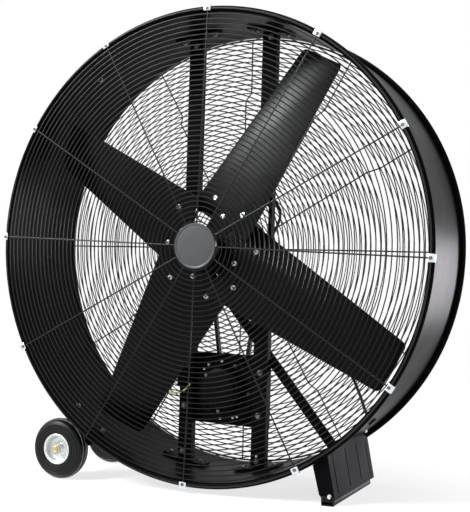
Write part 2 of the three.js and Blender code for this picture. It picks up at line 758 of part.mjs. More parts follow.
// Hanger that holds the axle under the drum; side is -1 in front and 1 at the rear.
function axleHanger(side) {
  const half = hangerArc / 2;
  const span = (y0, y1) => [side * y0, side * y1].sort((a, b) => a - b);
  const plateSpan = span(hangerY - hangerSheet / 2, hangerY + hangerSheet / 2);
  const saddleSpan = span(hangerY - hangerSheet / 2, hangerY - hangerSheet / 2 + hangerReach);
  const ends = [axleAngle - half, axleAngle + half];
  const saddle = curvedPlate(outsideRadius, hangerOuterRadius, ...ends, ...saddleSpan);
  const [x, z] = polar(axleDistance, axleAngle);
  const steps = 8;
  const hollow = outsideRadius / Math.cos(hangerArc / steps / 2);
  const boss = arc(hangerBossRadius, axleAngle + degrees(80), axleAngle - degrees(80), steps)
    .map(([dx, dz]) => [x + dx, z + dz]);
  const shape = polygon([...arc(hollow, ...ends, steps), ...boss]);
  shape.holes.push(roundHole(x, z, axleRadius + seat));
  return join(saddle, plate(shape, ...plateSpan, 8));
}

// The rim is a disc between a hub and a barrel with two lips, about the wheel's own middle.
function rim() {
  const half = [[axleRadius + seat, rimHalf], [rimHubRadius, rimHalf], [rimHubRadius, rimSheet],
    [rimBarrelRadius - rimSheet, rimSheet], [rimBarrelRadius - rimSheet, rimHalf], [rimRadius, rimHalf],
    [rimRadius, rimHalf - rimSheet], [rimBarrelRadius, rimHalf - rimSheet]];
  return turned([...half, ...half.map(([radius, y]) => [radius, -y]).reverse()]);
}

function tyre() {
  const beadHalf = rimHalf - rimSheet - seat;
  const bore = rimBarrelRadius + seat;
  const shoulder = wheelRadius - treadShoulder;
  const side = [[bore, -beadHalf], [rimRadius + seat, -beadHalf], [shoulder - sidewall, -wheelHalf],
    [shoulder, -treadHalf - treadEdge], [wheelRadius, -treadHalf]];
  return turned([...side, ...side.map(([radius, y]) => [radius, -y]).reverse()]);
}

const axleCap = (side) => turned([[axleRadius + seat, 0], [axleCapRadius, 0],
  [axleCapRadius, axleCapBevel], [axleCapRadius - axleCapBevel, axleCapLength],
  [0, axleCapLength], [0, axleCapLength - axleCapWall],
  [axleRadius + seat, axleCapLength - axleCapWall]].map(([radius, y]) => [radius, side * y]), 16);

// A sheet or a groove along the foot's leaning face, between two depths behind it and two heights.
const alongFace = (outer, inner, low, high, y0, y1) => plate(polygon([
  [footFaceX(low) - outer, low], [footFaceX(high) - outer, high],
  [footFaceX(high) - inner, high], [footFaceX(low) - inner, low],
]), y0, y1);

// Bent-sheet channel under the drum: side plate outwards, two flanges, a floor and a curved saddle.
function footBracket() {
  const half = footDepth / 2;
  const inner = footOuterX - footFlangeWidth;
  const low = footOuterX - footFloorWidth;
  const high = 0.88 * footTopZ; // inside the drum's round, which cuts it away
  const flange = polygon([[footFaceX(high), high], [footOuterX, footBottomZ], [low, footBottomZ],
    [low - footChamfer, footBottomZ + footChamfer], [inner, footBottomZ + footShoulder], [inner, high]]);
  const front = plate(flange, -half, -half + footSheet);
  const rear = plate(flange, half - footSheet, half);
  const side = alongFace(0, footSheet, footBottomZ, high, -half + 1, half - 1);
  const floor = box(low, footOuterX - 1, -half + 1, half - 1, footBottomZ, footBottomZ + footSheet);
  const hips = [inner, footTopX - 1].map((x) => Math.atan2(-Math.sqrt(outsideRadius ** 2 - x * x), x));
  const beadStart = drumHalf - beadDiameter - 2 * seat;
  const saddle = curvedPlate(outsideRadius, outsideRadius + footSheet, ...hips, -beadStart, beadStart);
  const grooves = footCreases.map((share) => alongFace(
    -creaseDepth,
    creaseDepth,
    footBottomZ + creaseLow,
    footBottomZ + creaseHigh,
    share * footDepth - creaseHalf,
    share * footDepth + creaseHalf,
  ));
  return cut(join(front, rear, side, floor), drumRoom(), ...grooves).add(solid(saddle));
}

function footSkid() {
  const half = footDepth / 2;
  const right = footOuterX - skidInset;
  const left = right - skidWidth;
  const top = footBottomZ - seat;
  const sole = box(left, right, -half - bootSheet, half - skidShort, -axisHeight, top);
  const boot = box(left, right, -half - bootSheet, -half - seat, -axisHeight, top + bootRise);
  return join(sole, boot);
}

// ---------------------------------------------------------------- assembly

const fan = new THREE.Group();
fan.position.set(0, -middleY, axisHeight);

const upright = new THREE.Group();
const leaningFrame = new THREE.Group();
leaningFrame.rotation.y = lean;
fan.add(upright, leaningFrame);

leaningFrame.add(
  piece('drum_shell', drumShell(), blackGloss),
  piece('strut_left', strut(-1), blackSatin),
  piece('strut_right', strut(1), blackSatin),
  piece('strut_foot_top_left', strutFoot(-1, 1), blackSatin),
  piece('strut_foot_top_right', strutFoot(1, 1), blackSatin),
  piece('strut_foot_bottom_left', strutFoot(-1, -1), blackSatin),
  piece('strut_foot_bottom_right', strutFoot(1, -1), blackSatin),
  piece('bearing_bridge_front', bridgePlate(frontBridgeFaceY, strutFrontY - seat), blackSatin),
  piece('bearing_bridge_rear', bridgePlate(strutRearY + seat, rearBridgeBackY), blackSatin),
  piece('flange_bearing_front', flangeBearing(frontBridgeFaceY, -1), steel),
  piece('flange_bearing_rear', flangeBearing(rearBridgeBackY, 1), steel),
  piece('diagonal_brace', diagonalBrace(), blackSatin),
  piece('motor_plate', motorPlate(), blackSatin),
  piece('v_belt', vBelt(), rubber),
  piece('terminal_box', terminalBox(), blackSatin),
  piece('terminal_box_lid', terminalBoxLid(), blackSatin),
  piece('motor_lead', motorLead(), rubber),
  piece('earth_wire', earthWire(), earthYellow),
  piece('lead_gland', leadGland(), rubber),
);

const motor = new THREE.Group();
motor.position.set(0, 0, -motorDrop);
motor.add(
  piece('motor_shell', motorShell(), blackSatin),
  piece('motor_front_bell', motorFrontBell(), blackSatin),
  piece('motor_rear_bell', motorRearBell(), blackSatin),
  piece('motor_stator', motorStator(), copper),
  piece('motor_rotor', motorRotor(), steel),
  piece('motor_pulley', pulley(motorGrooveRadius, motorShaftRadius + seat, motorPulleyHub, 20), steel),
);
leaningFrame.add(motor);

const rotor = new THREE.Group();
rotor.rotation.y = -bladeTurn;
rotor.add(
  piece('fan_shaft', bar(shaftRadius, shaftFrontY, shaftRearY), steel),
  piece('fan_hub', fanHub(), blackSatin),
  piece('shaft_nut', shaftNut(), zinc),
  piece('driven_pulley', pulley(drivenGrooveRadius, shaftRadius + seat, drivenPulleyHub, 24), steel),
);
for (let i = 0; i < bladeCount; i += 1) {
  const mesh = piece(`blade_${i + 1}`, blade(), darkBlade);
  mesh.rotation.y = -i * ((2 * Math.PI) / bladeCount);
  rotor.add(mesh);
}
upright.add(rotor);

upright.add(
  piece('front_guard', frontGuard(), blackWire),
  piece('rear_guard', rearGuard(), blackWire),
  piece('guard_badge', guardBadge(), badgeGrey),
);
Array.from({ length: guardSpokes }, (_, i) => i)
  .filter((spoke) => spoke !== spokeWithoutClip)
  .forEach((spoke, i) => {
    const clip = piece(`guard_clip_${String(i + 1).padStart(2, '0')}`, guardClip(), zinc);
    clip.rotation.y = -(frontGuardTurn + spoke * ((2 * Math.PI) / guardSpokes));
    upright.add(clip);
  });

const axle = new THREE.Group();
axle.position.set(wheelX, 0, wheelZ);
const axleHalf = axleEndY - axleCapWall - seat;
axle.add(piece('axle', bar(axleRadius, -axleHalf, axleHalf), steel));
[['front', -1], ['rear', 1]].forEach(([name, side]) => {
  const wheel = new THREE.Group();
  wheel.position.y = side * wheelMiddleY;
  wheel.add(piece(`${name}_tyre`, tyre(), rubber), piece(`${name}_rim`, rim(), whiteRim));
  const cap = piece(`axle_cap_${name}`, axleCap(side), brass);
  cap.position.y = side * capSeatY;
  axle.add(wheel, cap);
  upright.add(piece(`axle_hanger_${name}`, axleHanger(side), blackSatin));
});
upright.add(
  axle,
  piece('foot_bracket', footBracket(), blackSatin),
  piece('foot_skid', footSkid(), rubber),
);

export default fan;
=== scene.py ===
# %% [markdown]
# A belt-driven drum fan. A rolled steel drum lies on its side and stands on two wheels and a folded
# foot. Wire guards close both ends. Four flat blades turn on a shaft that two channel struts carry,
# and a motor lower down drives the shaft with a belt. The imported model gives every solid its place,
# so this lesson starts from it and adds the surfaces, the fine wire and the small hardware.

# %% Load the frame
import math

import bmesh
import bpy
from mathutils import Matrix, Vector


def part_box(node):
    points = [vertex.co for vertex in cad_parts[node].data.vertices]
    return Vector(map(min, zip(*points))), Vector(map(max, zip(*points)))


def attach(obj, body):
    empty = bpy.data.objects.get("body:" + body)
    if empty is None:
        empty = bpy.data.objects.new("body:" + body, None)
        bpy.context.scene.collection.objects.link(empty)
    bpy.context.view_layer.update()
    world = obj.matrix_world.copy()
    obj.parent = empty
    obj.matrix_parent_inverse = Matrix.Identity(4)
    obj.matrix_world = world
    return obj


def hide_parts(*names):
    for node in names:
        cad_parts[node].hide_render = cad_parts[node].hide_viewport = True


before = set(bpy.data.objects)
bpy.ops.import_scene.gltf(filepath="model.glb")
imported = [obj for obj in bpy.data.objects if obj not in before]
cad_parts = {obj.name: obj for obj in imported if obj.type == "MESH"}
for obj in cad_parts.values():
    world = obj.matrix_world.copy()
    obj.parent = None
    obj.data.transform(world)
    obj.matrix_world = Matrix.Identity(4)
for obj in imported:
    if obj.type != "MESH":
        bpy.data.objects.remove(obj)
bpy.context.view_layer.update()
MM = 0.001
drum_low, drum_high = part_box("drum_shell")
AXIS = (drum_low + drum_high) / 2
print("drum axis", tuple(round(value, 4) for value in AXIS))

# %% [markdown]
# The camera stands in front of the fan and to its right, level with the axis, as the photographer
# did. It could be moved by eye until the picture looks right. Here its place, lens and shift come
# from fitting the drum's two rims and the clips, because then every piece can be compared with the
# photo. The lens is given in Blender's own terms, for a sensor across the picture's long side.

# %% Camera
PICTURE_WIDTH, PICTURE_HEIGHT = 470, 512
FOCAL_PIXELS = 970.38
SENSOR_WIDTH = 36
CENTRE_RIGHT, CENTRE_DOWN = -10.855, -8.332  # the lens axis from the picture's middle, in pixels
AZIMUTH, ELEVATION, ROLL = (math.radians(angle) for angle in (26.53, -1.982, -0.688))
DISTANCE = 2.40475


def in_scene(name, data):
    """A new object in the scene that shows the data."""
    item = bpy.data.objects.new(name, data)
    bpy.context.scene.collection.objects.link(item)
    return item


backwards = Vector((
    math.sin(AZIMUTH) * math.cos(ELEVATION),
    -math.cos(AZIMUTH) * math.cos(ELEVATION),
    math.sin(ELEVATION),
))
level = Vector((0, 0, 1)).cross(backwards).normalized()
upwards = backwards.cross(level)
right = level * math.cos(ROLL) + upwards * math.sin(ROLL)
top = upwards * math.cos(ROLL) - level * math.sin(ROLL)
camera_data = bpy.data.cameras.new("photo_camera")
long_side = max(PICTURE_WIDTH, PICTURE_HEIGHT)
camera_data.sensor_width = SENSOR_WIDTH
camera_data.lens = FOCAL_PIXELS / long_side * SENSOR_WIDTH
camera_data.shift_x = -CENTRE_RIGHT / long_side
camera_data.shift_y = CENTRE_DOWN / long_side
camera = in_scene("photo_camera", camera_data)
turn = Matrix((right, top, backwards)).transposed().to_4x4()
camera.matrix_world = Matrix.Translation(AXIS + backwards * DISTANCE) @ turn
bpy.context.scene.camera = camera
print("lens", round(camera_data.lens, 2), "mm")

# %% [markdown]
# The fan's pieces are easiest to write in the fan's own frame: millimetres from the middle of the
# drum, X to the right, Y to the back and Z up. The struts and all that hangs on them lean over by a
# small angle, because the drum is turned a little on its wheels. One matrix for each of the two
# frames turns such places into metres, so no piece has to work that out again.

# %% Frames of the fan
LEAN = math.radians(2.7)
fan_frame = Matrix.Translation(AXIS) @ Matrix.Scale(MM, 4)
leaning_frame = fan_frame @ Matrix.Rotation(LEAN, 4, "Y")


def polar(radius, angle, along=0.0):
    """A point round the fan's axis, measured from +X towards +Z."""
    return Vector((radius * math.cos(angle), along, radius * math.sin(angle)))


print("lean", round(math.degrees(LEAN), 1), "degrees")

# %% [markdown]
# Finishes come next. Shader maths reads best as plain expressions, so a small class wraps one socket
# and gives it + and *, each of which adds a Math node. Every other node comes from one method. The
# patterns follow Object coordinates, because the solids have no UV map.

# %% Shader helper
class Socket:
    """One output of a shader tree."""

    def __init__(self, shader, socket):
        self.shader = shader
        self.socket = socket

    def math(self, operation, first, second):
        node = self.shader.tree.nodes.new("ShaderNodeMath")
        node.operation = operation
        for value, slot in zip((first, second), node.inputs):
            self.shader.feed(slot, value)
        return Socket(self.shader, node.outputs[0])

    def __add__(self, other):
        return self.math("ADD", self, other)

    def __mul__(self, other):
        return self.math("MULTIPLY", self, other)

    __radd__ = __add__
    __rmul__ = __mul__


class Finish:
    """A material with one Principled shader, and the nodes that feed it."""

    def __init__(self, name):
        self.material = bpy.data.materials.new(name)
        self.material.use_nodes = True
        self.tree = self.material.node_tree
        self.surface = self.tree.nodes["Principled BSDF"]
        self.place = self.node("ShaderNodeTexCoord", output="Object")

    def feed(self, slot, value):
        if isinstance(value, Socket):
            self.tree.links.new(value.socket, slot)
        else:
            slot.default_value = value

    def node(self, kind, settings=None, output=0, **inputs):
        node = self.tree.nodes.new(kind)
        for key, value in (settings or {}).items():
            setattr(node, key, value)
        for key, value in inputs.items():
            self.feed(node.inputs[key.replace("_", " ")], value)
        return Socket(self, node.outputs[output])

    def noise(self, scale, detail=3.0):
        kind = "ShaderNodeTexNoise"
        return self.node(kind, Vector=self.place, Scale=scale, Detail=detail, Roughness=0.55)

    def span(self, value, low, high, start=0.3, end=0.7):
        """Value from start..end spread over low..high."""
        ends = {"From_Min": start, "From_Max": end, "To_Min": low, "To_Max": high}
        return self.node("ShaderNodeMapRange", Value=value, **ends)

    def blend(self, share, first, second):
        node = self.tree.nodes.new("ShaderNodeMix")
        node.data_type = "RGBA"
        for slot, value in ((0, share), (6, first), (7, second)):
            self.feed(node.inputs[slot], value)
        return Socket(self, node.outputs[2])

    def bump(self, height, distance, strength):
        normal = self.node("ShaderNodeBump", Height=height, Distance=distance, Strength=strength)
        self.feed(self.surface.inputs["Normal"], normal)

    def set(self, **inputs):
        for key, value in inputs.items():
            self.feed(self.surface.inputs[key.replace("_", " ")], value)


def grey(value, blue=0.0):
    return (value, value, value + blue, 1)


print("a dark grey", grey(0.002))

# %% [markdown]
# Most of the fan is black powder coat. It has a fine orange peel, so a highlight on it is broken up
# a little, and dust makes it lighter in patches. One flat black would do from far off. Two noises,
# one coarse for the dust and one fine for the peel, keep it alive in a close view. The same recipe
# serves the drum, the struts and the blades with a different gloss. How much a black surface mirrors
# decides how black it looks beside a white background, so each paint also names its shine.

# %% Painted finishes
DUST = 0.1
ORANGE_PEEL = 420.0
TINT = 0.0004  # a trace of blue in every black


def powder_coat(name, light, gloss, shine):
    finish = Finish(name)
    patches = finish.noise(7.0, detail=5.0)
    grain = finish.noise(ORANGE_PEEL, detail=2.0)
    share = finish.span(patches, 0.0, DUST, start=0.42, end=0.75)
    finish.set(
        Base_Color=finish.blend(share, grey(light, TINT), grey(light * 2.2 + 0.004, TINT)),
        Roughness=finish.span(patches, gloss, gloss + 0.12) + grain * 0.05,
        Specular_IOR_Level=shine,
    )
    finish.bump(grain, distance=0.00012, strength=0.5)
    return finish.material


drum_paint = powder_coat("drum_powder_coat", 0.0018, 0.25, shine=0.018)
strut_paint = powder_coat("strut_powder_coat", 0.0015, 0.45, shine=0.03)
blade_paint = powder_coat("blade_powder_coat", 0.0015, 0.20, shine=0.11)
foot_paint = powder_coat("foot_powder_coat", 0.002, 0.50, shine=0.02)
motor_paint = powder_coat("motor_enamel", 0.0015, 0.30, shine=0.05)
wire_paint = powder_coat("wire_powder_coat", 0.002, 0.26, shine=0.30)
print("painted finishes", len(bpy.data.materials))

# %% [markdown]
# The screws and clips are zinc plated: bright, slightly blue and cloudy. The axle caps have the
# yellow kind, and the bolts and screws that sit in shade get a dark copy of the zinc, which is
# painted shade. A metal is little more than what it mirrors, so one recipe serves them all: two near
# colours and two near roughnesses, mixed by the same cloudy noise.

# %% Metal finishes
def plated(name, base, shade, rough, metallic=0.9):
    finish = Finish(name)
    cloud = finish.noise(180.0, detail=4.0)
    share = finish.span(cloud, 0.0, 1.0)
    finish.set(
        Base_Color=finish.blend(share, base, shade),
        Metallic=metallic,
        Roughness=finish.span(cloud, rough, rough + 0.16),
    )
    finish.bump(cloud, distance=0.00006, strength=0.4)
    return finish.material


zinc = plated("zinc_plate", (0.78, 0.79, 0.80, 1), (0.60, 0.62, 0.66, 1), 0.26)
yellow_zinc = plated("yellow_zinc_plate", (0.70, 0.60, 0.42, 1), (0.36, 0.28, 0.17, 1), 0.28)
# a dark copy of the zinc: painted shade for the bolts and screws that sit in shade
shaded_zinc = plated("shaded_zinc_plate", (0.20, 0.21, 0.22, 1), (0.10, 0.105, 0.11, 1), 0.30, 1.0)
steel = plated("turned_steel", (0.52, 0.53, 0.54, 1), (0.38, 0.38, 0.40, 1), 0.32)
pulley_iron = plated("pulley_iron", (0.16, 0.165, 0.17, 1), (0.09, 0.092, 0.095, 1), 0.42)
windings = plated("varnished_windings", (0.30, 0.14, 0.06, 1), (0.18, 0.09, 0.05, 1), 0.45)
print("with the metals", len(bpy.data.materials))

# %% [markdown]
# Rubber is dark and dull, with a faint bloom that makes it greyer in clouds. The pale lines round
# the tyres and the bare grey badge have a plain satin finish of two near tones. The earth wire's
# sheath is yellow with green bands. All could be painted pictures, but noise and a wave pattern have
# no seams and need no file.

# %% Rubber, satin and sheath
def rubber(name, light, rough, bloom, shine=0.3):
    finish = Finish(name)
    cloud = finish.noise(40.0, detail=5.0)
    grain = finish.noise(900.0, detail=2.0)
    share = finish.span(cloud, 0.0, bloom)
    finish.set(
        Base_Color=finish.blend(share, grey(light), grey(light * 3.2, 0.004)),
        Roughness=finish.span(cloud, rough, rough + 0.12),
        Specular_IOR_Level=shine,
    )
    finish.bump(grain, distance=0.00015, strength=0.5)
    return finish.material


tyre_rubber = rubber("tyre_rubber", 0.0018, 0.30, 0.2, shine=0.24)
skid_rubber = rubber("skid_rubber", 0.003, 0.50, 0.2, shine=0.12)
belt_rubber = rubber("belt_rubber", 0.010, 0.65, 0.3)
sheath = rubber("cable_sheath", 0.006, 0.42, 0.2)
gland_nylon = rubber("gland_nylon", 0.008, 0.46, 0.2)


def satin(name, base, shade, rough):
    finish = Finish(name)
    cloud = finish.noise(30.0, detail=4.0)
    share = finish.span(cloud, 0.0, 1.0)
    finish.set(
        Base_Color=finish.blend(share, base, shade),
        Roughness=finish.span(cloud, rough, rough + 0.1),
    )
    finish.bump(finish.noise(500.0), distance=0.00005, strength=0.4)
    return finish.material


badge_satin = satin("badge_satin", (0.030, 0.030, 0.032, 1), (0.022, 0.022, 0.023, 1), 0.40)
mould_line = satin("tyre_mould_line", (0.27, 0.23, 0.19, 1), (0.14, 0.125, 0.11, 1), 0.6)


def striped_earth():
    """Yellow sheath with green bands."""
    finish = Finish("earth_sheath")
    bands = {"wave_type": "BANDS", "bands_direction": "DIAGONAL"}
    wave = finish.node("ShaderNodeTexWave", bands, Vector=finish.place, Scale=28.0)
    stripe = finish.span(wave, 0.0, 1.0, start=0.62, end=0.70)
    yellow, green = (0.90, 0.74, 0.22, 1), (0.40, 0.46, 0.12, 1)
    finish.set(Base_Color=finish.blend(stripe, yellow, green), Roughness=0.4)
    return finish.material


earth_sheath = striped_earth()
print(len(bpy.data.materials), "finishes")

# %% [markdown]
# Flat bars, folded sheets, hidden shafts and the like are already right as solids, so they keep
# their shape and only get a finish. All could be drawn again in finer detail, but most of their
# edges are straight and little of the rest shows. The other solids are replaced below.

# %% Dress the nodes that stay
def dress(material, *names):
    for name in names:
        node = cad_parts[name]
        node.data.materials.clear()
        node.data.materials.append(material)


strut_feet = [f"strut_foot_{end}_{side}" for end in ("top", "bottom") for side in ("left", "right")]
dress(strut_paint, "strut_left", "strut_right", *strut_feet, "diagonal_brace", "motor_plate", "fan_hub")
for end in ("front", "rear"):
    dress(strut_paint, f"bearing_bridge_{end}", f"axle_hanger_{end}")
    dress(steel, f"flange_bearing_{end}")
dress(steel, "fan_shaft", "axle", "motor_rotor")
dress(motor_paint, "motor_shell", "motor_rear_bell", "terminal_box", "terminal_box_lid")
dress(foot_paint, "foot_bracket")
dress(pulley_iron, "driven_pulley", "motor_pulley")
dress(windings, "motor_stator")
dress(zinc, "shaft_nut")
dress(belt_rubber, "v_belt")
dress(sheath, "motor_lead")
dress(gland_nylon, "lead_gland")
print("solids that stay are dressed")

# %% [markdown]
# Round pieces are turned: a closed outline of radius and distance along the axis is swept round Y. A
# Screw modifier would do it too, but rings that are made one by one close cleanly on the axis. The
# solids in the frame have few facets, so the pieces that the eye rests on are turned again here with
# many, to the same sizes, and each stands for its node.

# %% Turning helper
def add_piece(name, mesh, material, place, body, slot, *replaced):
    """Puts a mesh drawn in millimetres into the frame and hands it over to its body."""
    mesh.transform(place)
    mesh.materials.clear()
    mesh.materials.append(material)
    piece = in_scene(name, mesh)
    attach(piece, body)
    if replaced:
        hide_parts(*replaced)
    print(name, len(mesh.polygons), "faces")


def smooth(mesh, sharp=35.0):
    """Smooth shading, except where two faces meet at more than an angle in degrees."""
    mesh.shade_smooth()
    mesh.set_sharp_from_angle(angle=math.radians(sharp))


def drawn(name, shape, sharp=35.0):
    """Ends a drawing and returns it as a smooth mesh."""
    mesh = bpy.data.meshes.new(name)
    shape.to_mesh(mesh)
    shape.free()
    smooth(mesh, sharp)
    return mesh


def turned(name, outline, segments=96):
    """A closed outline of (radius, along) swept round Y. A point on the axis becomes one vertex."""
    shape = bmesh.new()
    angles = [2 * math.pi * index / segments for index in range(segments)]
    loops = []
    for radius, along in outline:
        if radius == 0:
            loops.append([shape.verts.new((0, along, 0))] * segments)
        else:
            loops.append([shape.verts.new(polar(radius, angle, along)) for angle in angles])
    for first, second in zip(loops, loops[1:] + loops[:1]):
        for index in range(segments):
            after = (index + 1) % segments
            corners = dict.fromkeys((first[index], first[after], second[after], second[index]))
            if len(corners) > 2:
                shape.faces.new(tuple(corners))
    bmesh.ops.recalc_face_normals(shape, faces=shape.faces)
    return drawn(name, shape)


def arc_points(centre, radius, start, end, steps):
    """Points of an arc in the outline's plane. Angles in degrees, from outwards towards the back."""
    angles = [math.radians(start + (end - start) * step / steps) for step in range(steps + 1)]
    return [(centre[0] + radius * math.cos(a), centre[1] + radius * math.sin(a)) for a in angles]


def both_ends(outline):
    """An outline and its mirror image, for a piece that is the same at both ends."""
    return outline + [(radius, -along) for radius, along in reversed(outline)]


print("a mirrored outline", both_ends([(1, -2), (1, -1)]))

# %% [markdown]
# The drum is one sheet, rolled to a round and curled outwards at both ends. The curl is a tube that
# nearly closes on the wall, which leaves a thin dark line along it. A tube with a torus at each end
# would lose that line. So the outline below follows the sheet itself: the wall's outside, round the
# curl, and back along the inside.

# %% Drum
DRUM_BORE = 550.0
WALL = 2.8
CURL = 7.5
SEAM = 1.0
DRUM_SEGMENTS = 240
drum_half = (drum_high.y - drum_low.y) / 2 / MM
curl_centre = (DRUM_BORE + CURL, CURL - drum_half)
mouth = math.degrees(math.acos((WALL - CURL) / CURL))
drum_end = [(DRUM_BORE + WALL, curl_centre[1] + CURL + SEAM)]
drum_end += arc_points(curl_centre, CURL, mouth - 12, -180, 22)
drum_mesh = turned("drum_rolled", both_ends(drum_end), DRUM_SEGMENTS)
add_piece("drum_rolled", drum_mesh, drum_paint, leaning_frame, "frame", "drum_paint", "drum_shell")

# %% [markdown]
# Both guards are welded wire: many thin rings on twelve spokes. Each wire could be swept on its own
# in Python. But a ring and a spoke are simple, and what matters is their repetition, so Geometry
# Nodes make them. A small class builds such a tree from named inputs and runs it on a mesh. Every
# tree ends in real geometry, because the exported model can't hold instances.

# %% Geometry Nodes helper
class Grower:
    """Builds one Geometry Nodes tree with named inputs."""

    def __init__(self, name, inputs):
        self.tree = bpy.data.node_groups.new(name, "GeometryNodeTree")
        face = self.tree.interface
        face.new_socket("Geometry", in_out="INPUT", socket_type="NodeSocketGeometry")
        face.new_socket("Geometry", in_out="OUTPUT", socket_type="NodeSocketGeometry")
        self.names = {}
        for label, kind in inputs.items():
            socket = face.new_socket(label, in_out="INPUT", socket_type=f"NodeSocket{kind}")
            self.names[label] = socket.identifier
        self.entry = self.tree.nodes.new("NodeGroupInput")
        self.exit = self.tree.nodes.new("NodeGroupOutput")

    def value(self, label):
        return self.entry.outputs[label]

    def feed(self, slot, value):
        if isinstance(value, bpy.types.NodeSocket):
            self.tree.links.new(value, slot)
        else:
            slot.default_value = value

    def node(self, kind, settings=None, output=0, **inputs):
        node = self.tree.nodes.new(kind)
        for key, value in (settings or {}).items():
            setattr(node, key, value)
        for key, value in inputs.items():
            self.feed(node.inputs[key.replace("_", " ")], value)
        return node.outputs[output]

    def maths(self, operation, first, second):
        node = self.tree.nodes.new("ShaderNodeMath")
        node.operation = operation
        self.feed(node.inputs[0], first)
        self.feed(node.inputs[1], second)
        return node.outputs[0]

    def wire(self, path, sides):
        """Gives a path the round section of a wire."""
        radius = self.value("Wire Radius")
        section = self.node("GeometryNodeCurvePrimitiveCircle", Resolution=sides, Radius=radius)
        return self.node("GeometryNodeCurveToMesh", Curve=path, Profile_Curve=section, Fill_Caps=True)

    def finish(self, geometry):
        real = self.node("GeometryNodeRealizeInstances", Geometry=geometry)
        coated = self.node("GeometryNodeSetMaterial", Geometry=real, Material=self.value("Material"))
        self.tree.links.new(coated, self.exit.inputs[0])
        print(self.tree.name, len(self.tree.nodes), "nodes")

    def grow(self, name, mesh, **values):
        """Runs the tree on a mesh and returns the result as a plain mesh."""
        seed = in_scene(name, mesh)
        modifier = seed.modifiers.new("grow", "NODES")
        modifier.node_group = self.tree
        for label, value in values.items():
            modifier[self.names[label.replace("_", " ")]] = value
        bpy.context.view_layer.update()
        seen = seed.evaluated_get(bpy.context.evaluated_depsgraph_get())
        result = bpy.data.meshes.new_from_object(seen)
        bpy.data.objects.remove(seed)
        return result


print("trees so far", len(bpy.data.node_groups))

# %% [markdown]
# The rings of a guard differ only in their radius. Each could be a curve of its own, but then their
# number couldn't be changed. The tree makes a line of points, sets a circle on each, scales it to
# its radius, and gives all of them the wire's section at once.

# %% Tree for rings
RING_CORNERS = 96
RING_WIRE_SIDES = 6


def ring_tree():
    tree = Grower("wire_rings", {
        "Inner Radius": "Float", "Pitch": "Float", "Rings": "Int",
        "Wire Radius": "Float", "Along": "Float", "Material": "Material",
    })
    points = tree.node("GeometryNodeMeshLine", Count=tree.value("Rings"), Offset=(0, 0, 0))
    index = tree.node("GeometryNodeInputIndex")
    growth = tree.maths("MULTIPLY", index, tree.value("Pitch"))
    radius = tree.maths("ADD", tree.value("Inner Radius"), growth)
    size = tree.node("ShaderNodeCombineXYZ", X=radius, Y=radius, Z=1.0)
    circle = tree.node("GeometryNodeCurvePrimitiveCircle", Resolution=RING_CORNERS, Radius=1.0)
    copies = tree.node("GeometryNodeInstanceOnPoints", Points=points, Instance=circle, Scale=size)
    real = tree.node("GeometryNodeRealizeInstances", Geometry=copies)
    upright = tree.node(
        "GeometryNodeTransform",
        Geometry=tree.wire(real, RING_WIRE_SIDES),
        Translation=tree.node("ShaderNodeCombineXYZ", X=0.0, Y=tree.value("Along"), Z=0.0),
        Rotation=(math.pi / 2, 0, 0),
    )
    tree.finish(upright)
    return tree


rings = ring_tree()

# %% [markdown]
# A spoke is one wire from the hub's ring to the edge, bent where its guard has a step. Twelve paths
# could be written down. Instead one path is drawn and a tree copies it round the axis, because all
# spokes of a guard are alike. The function that spreads the copies serves the clips too.

# %% Tree for spokes
SPOKE_WIRE_SIDES = 8


def spread_round(tree, geometry, copies, **choice):
    """Copies of a geometry, evenly round Y. The tree's input Turn is the angle of the first."""
    points = tree.node("GeometryNodeMeshLine", Count=copies, Offset=(0, 0, 0))
    step = tree.maths("DIVIDE", 2 * math.pi, copies)
    index = tree.node("GeometryNodeInputIndex")
    angle = tree.maths("ADD", tree.value("Turn"), tree.maths("MULTIPLY", index, step))
    spin = tree.node("ShaderNodeCombineXYZ", X=0.0, Y=tree.maths("MULTIPLY", angle, -1.0), Z=0.0)
    kind = "GeometryNodeInstanceOnPoints"
    return tree.node(kind, Points=points, Instance=geometry, Rotation=spin, **choice)


def spoke_tree():
    tree = Grower("wire_spokes", {
        "Spokes": "Int", "Turn": "Float", "Wire Radius": "Float", "Material": "Material",
    })
    path = tree.node("GeometryNodeMeshToCurve", Mesh=tree.value("Geometry"))
    tree.finish(spread_round(tree, tree.wire(path, SPOKE_WIRE_SIDES), tree.value("Spokes")))
    return tree


spokes = spoke_tree()

# %% [markdown]
# The front guard is flat and lies on the curled edge. Its rings sit in front of the spokes, and the
# last ring is stouter and follows the curl's crest. A picture of wires on a disc would be cheaper,
# but light has to pass between them, so every wire is real.

# %% Front guard
SPOKES = 12
FRONT_TURN = math.radians(-4.1)
GUARD_WIRE, SPOKE_WIRE, EDGE_WIRE = 1.45, 1.75, 2.0
RING_PITCH = 11.9
HUB_RING, LAST_RING, EDGE_RING = 46.0, 545.0, 557.5


def path_mesh(name, points):
    mesh = bpy.data.meshes.new(name)
    mesh.from_pydata(points, [(i, i + 1) for i in range(len(points) - 1)], [])
    return mesh


def ring_set(name, inner, outer, along, wire=GUARD_WIRE):
    """Rings from one radius to another, as near to the pitch as fits."""
    gaps = round((outer - inner) / RING_PITCH)
    return rings.grow(
        name, path_mesh(name, [(0, 0, 0), (0, 0, 1)]),
        Inner_Radius=inner, Pitch=(outer - inner) / max(gaps, 1), Rings=gaps + 1,
        Wire_Radius=wire, Along=along, Material=wire_paint,
    )


def spoke_set(name, points, turn):
    return spokes.grow(
        name, path_mesh(name, points),
        Spokes=SPOKES, Turn=turn, Wire_Radius=SPOKE_WIRE, Material=wire_paint,
    )


def joined(name, meshes):
    """Several meshes as one, smooth round the wire."""
    shape = bmesh.new()
    for mesh in meshes:
        shape.from_mesh(mesh)
        bpy.data.meshes.remove(mesh)
    return drawn(name, shape, sharp=60)


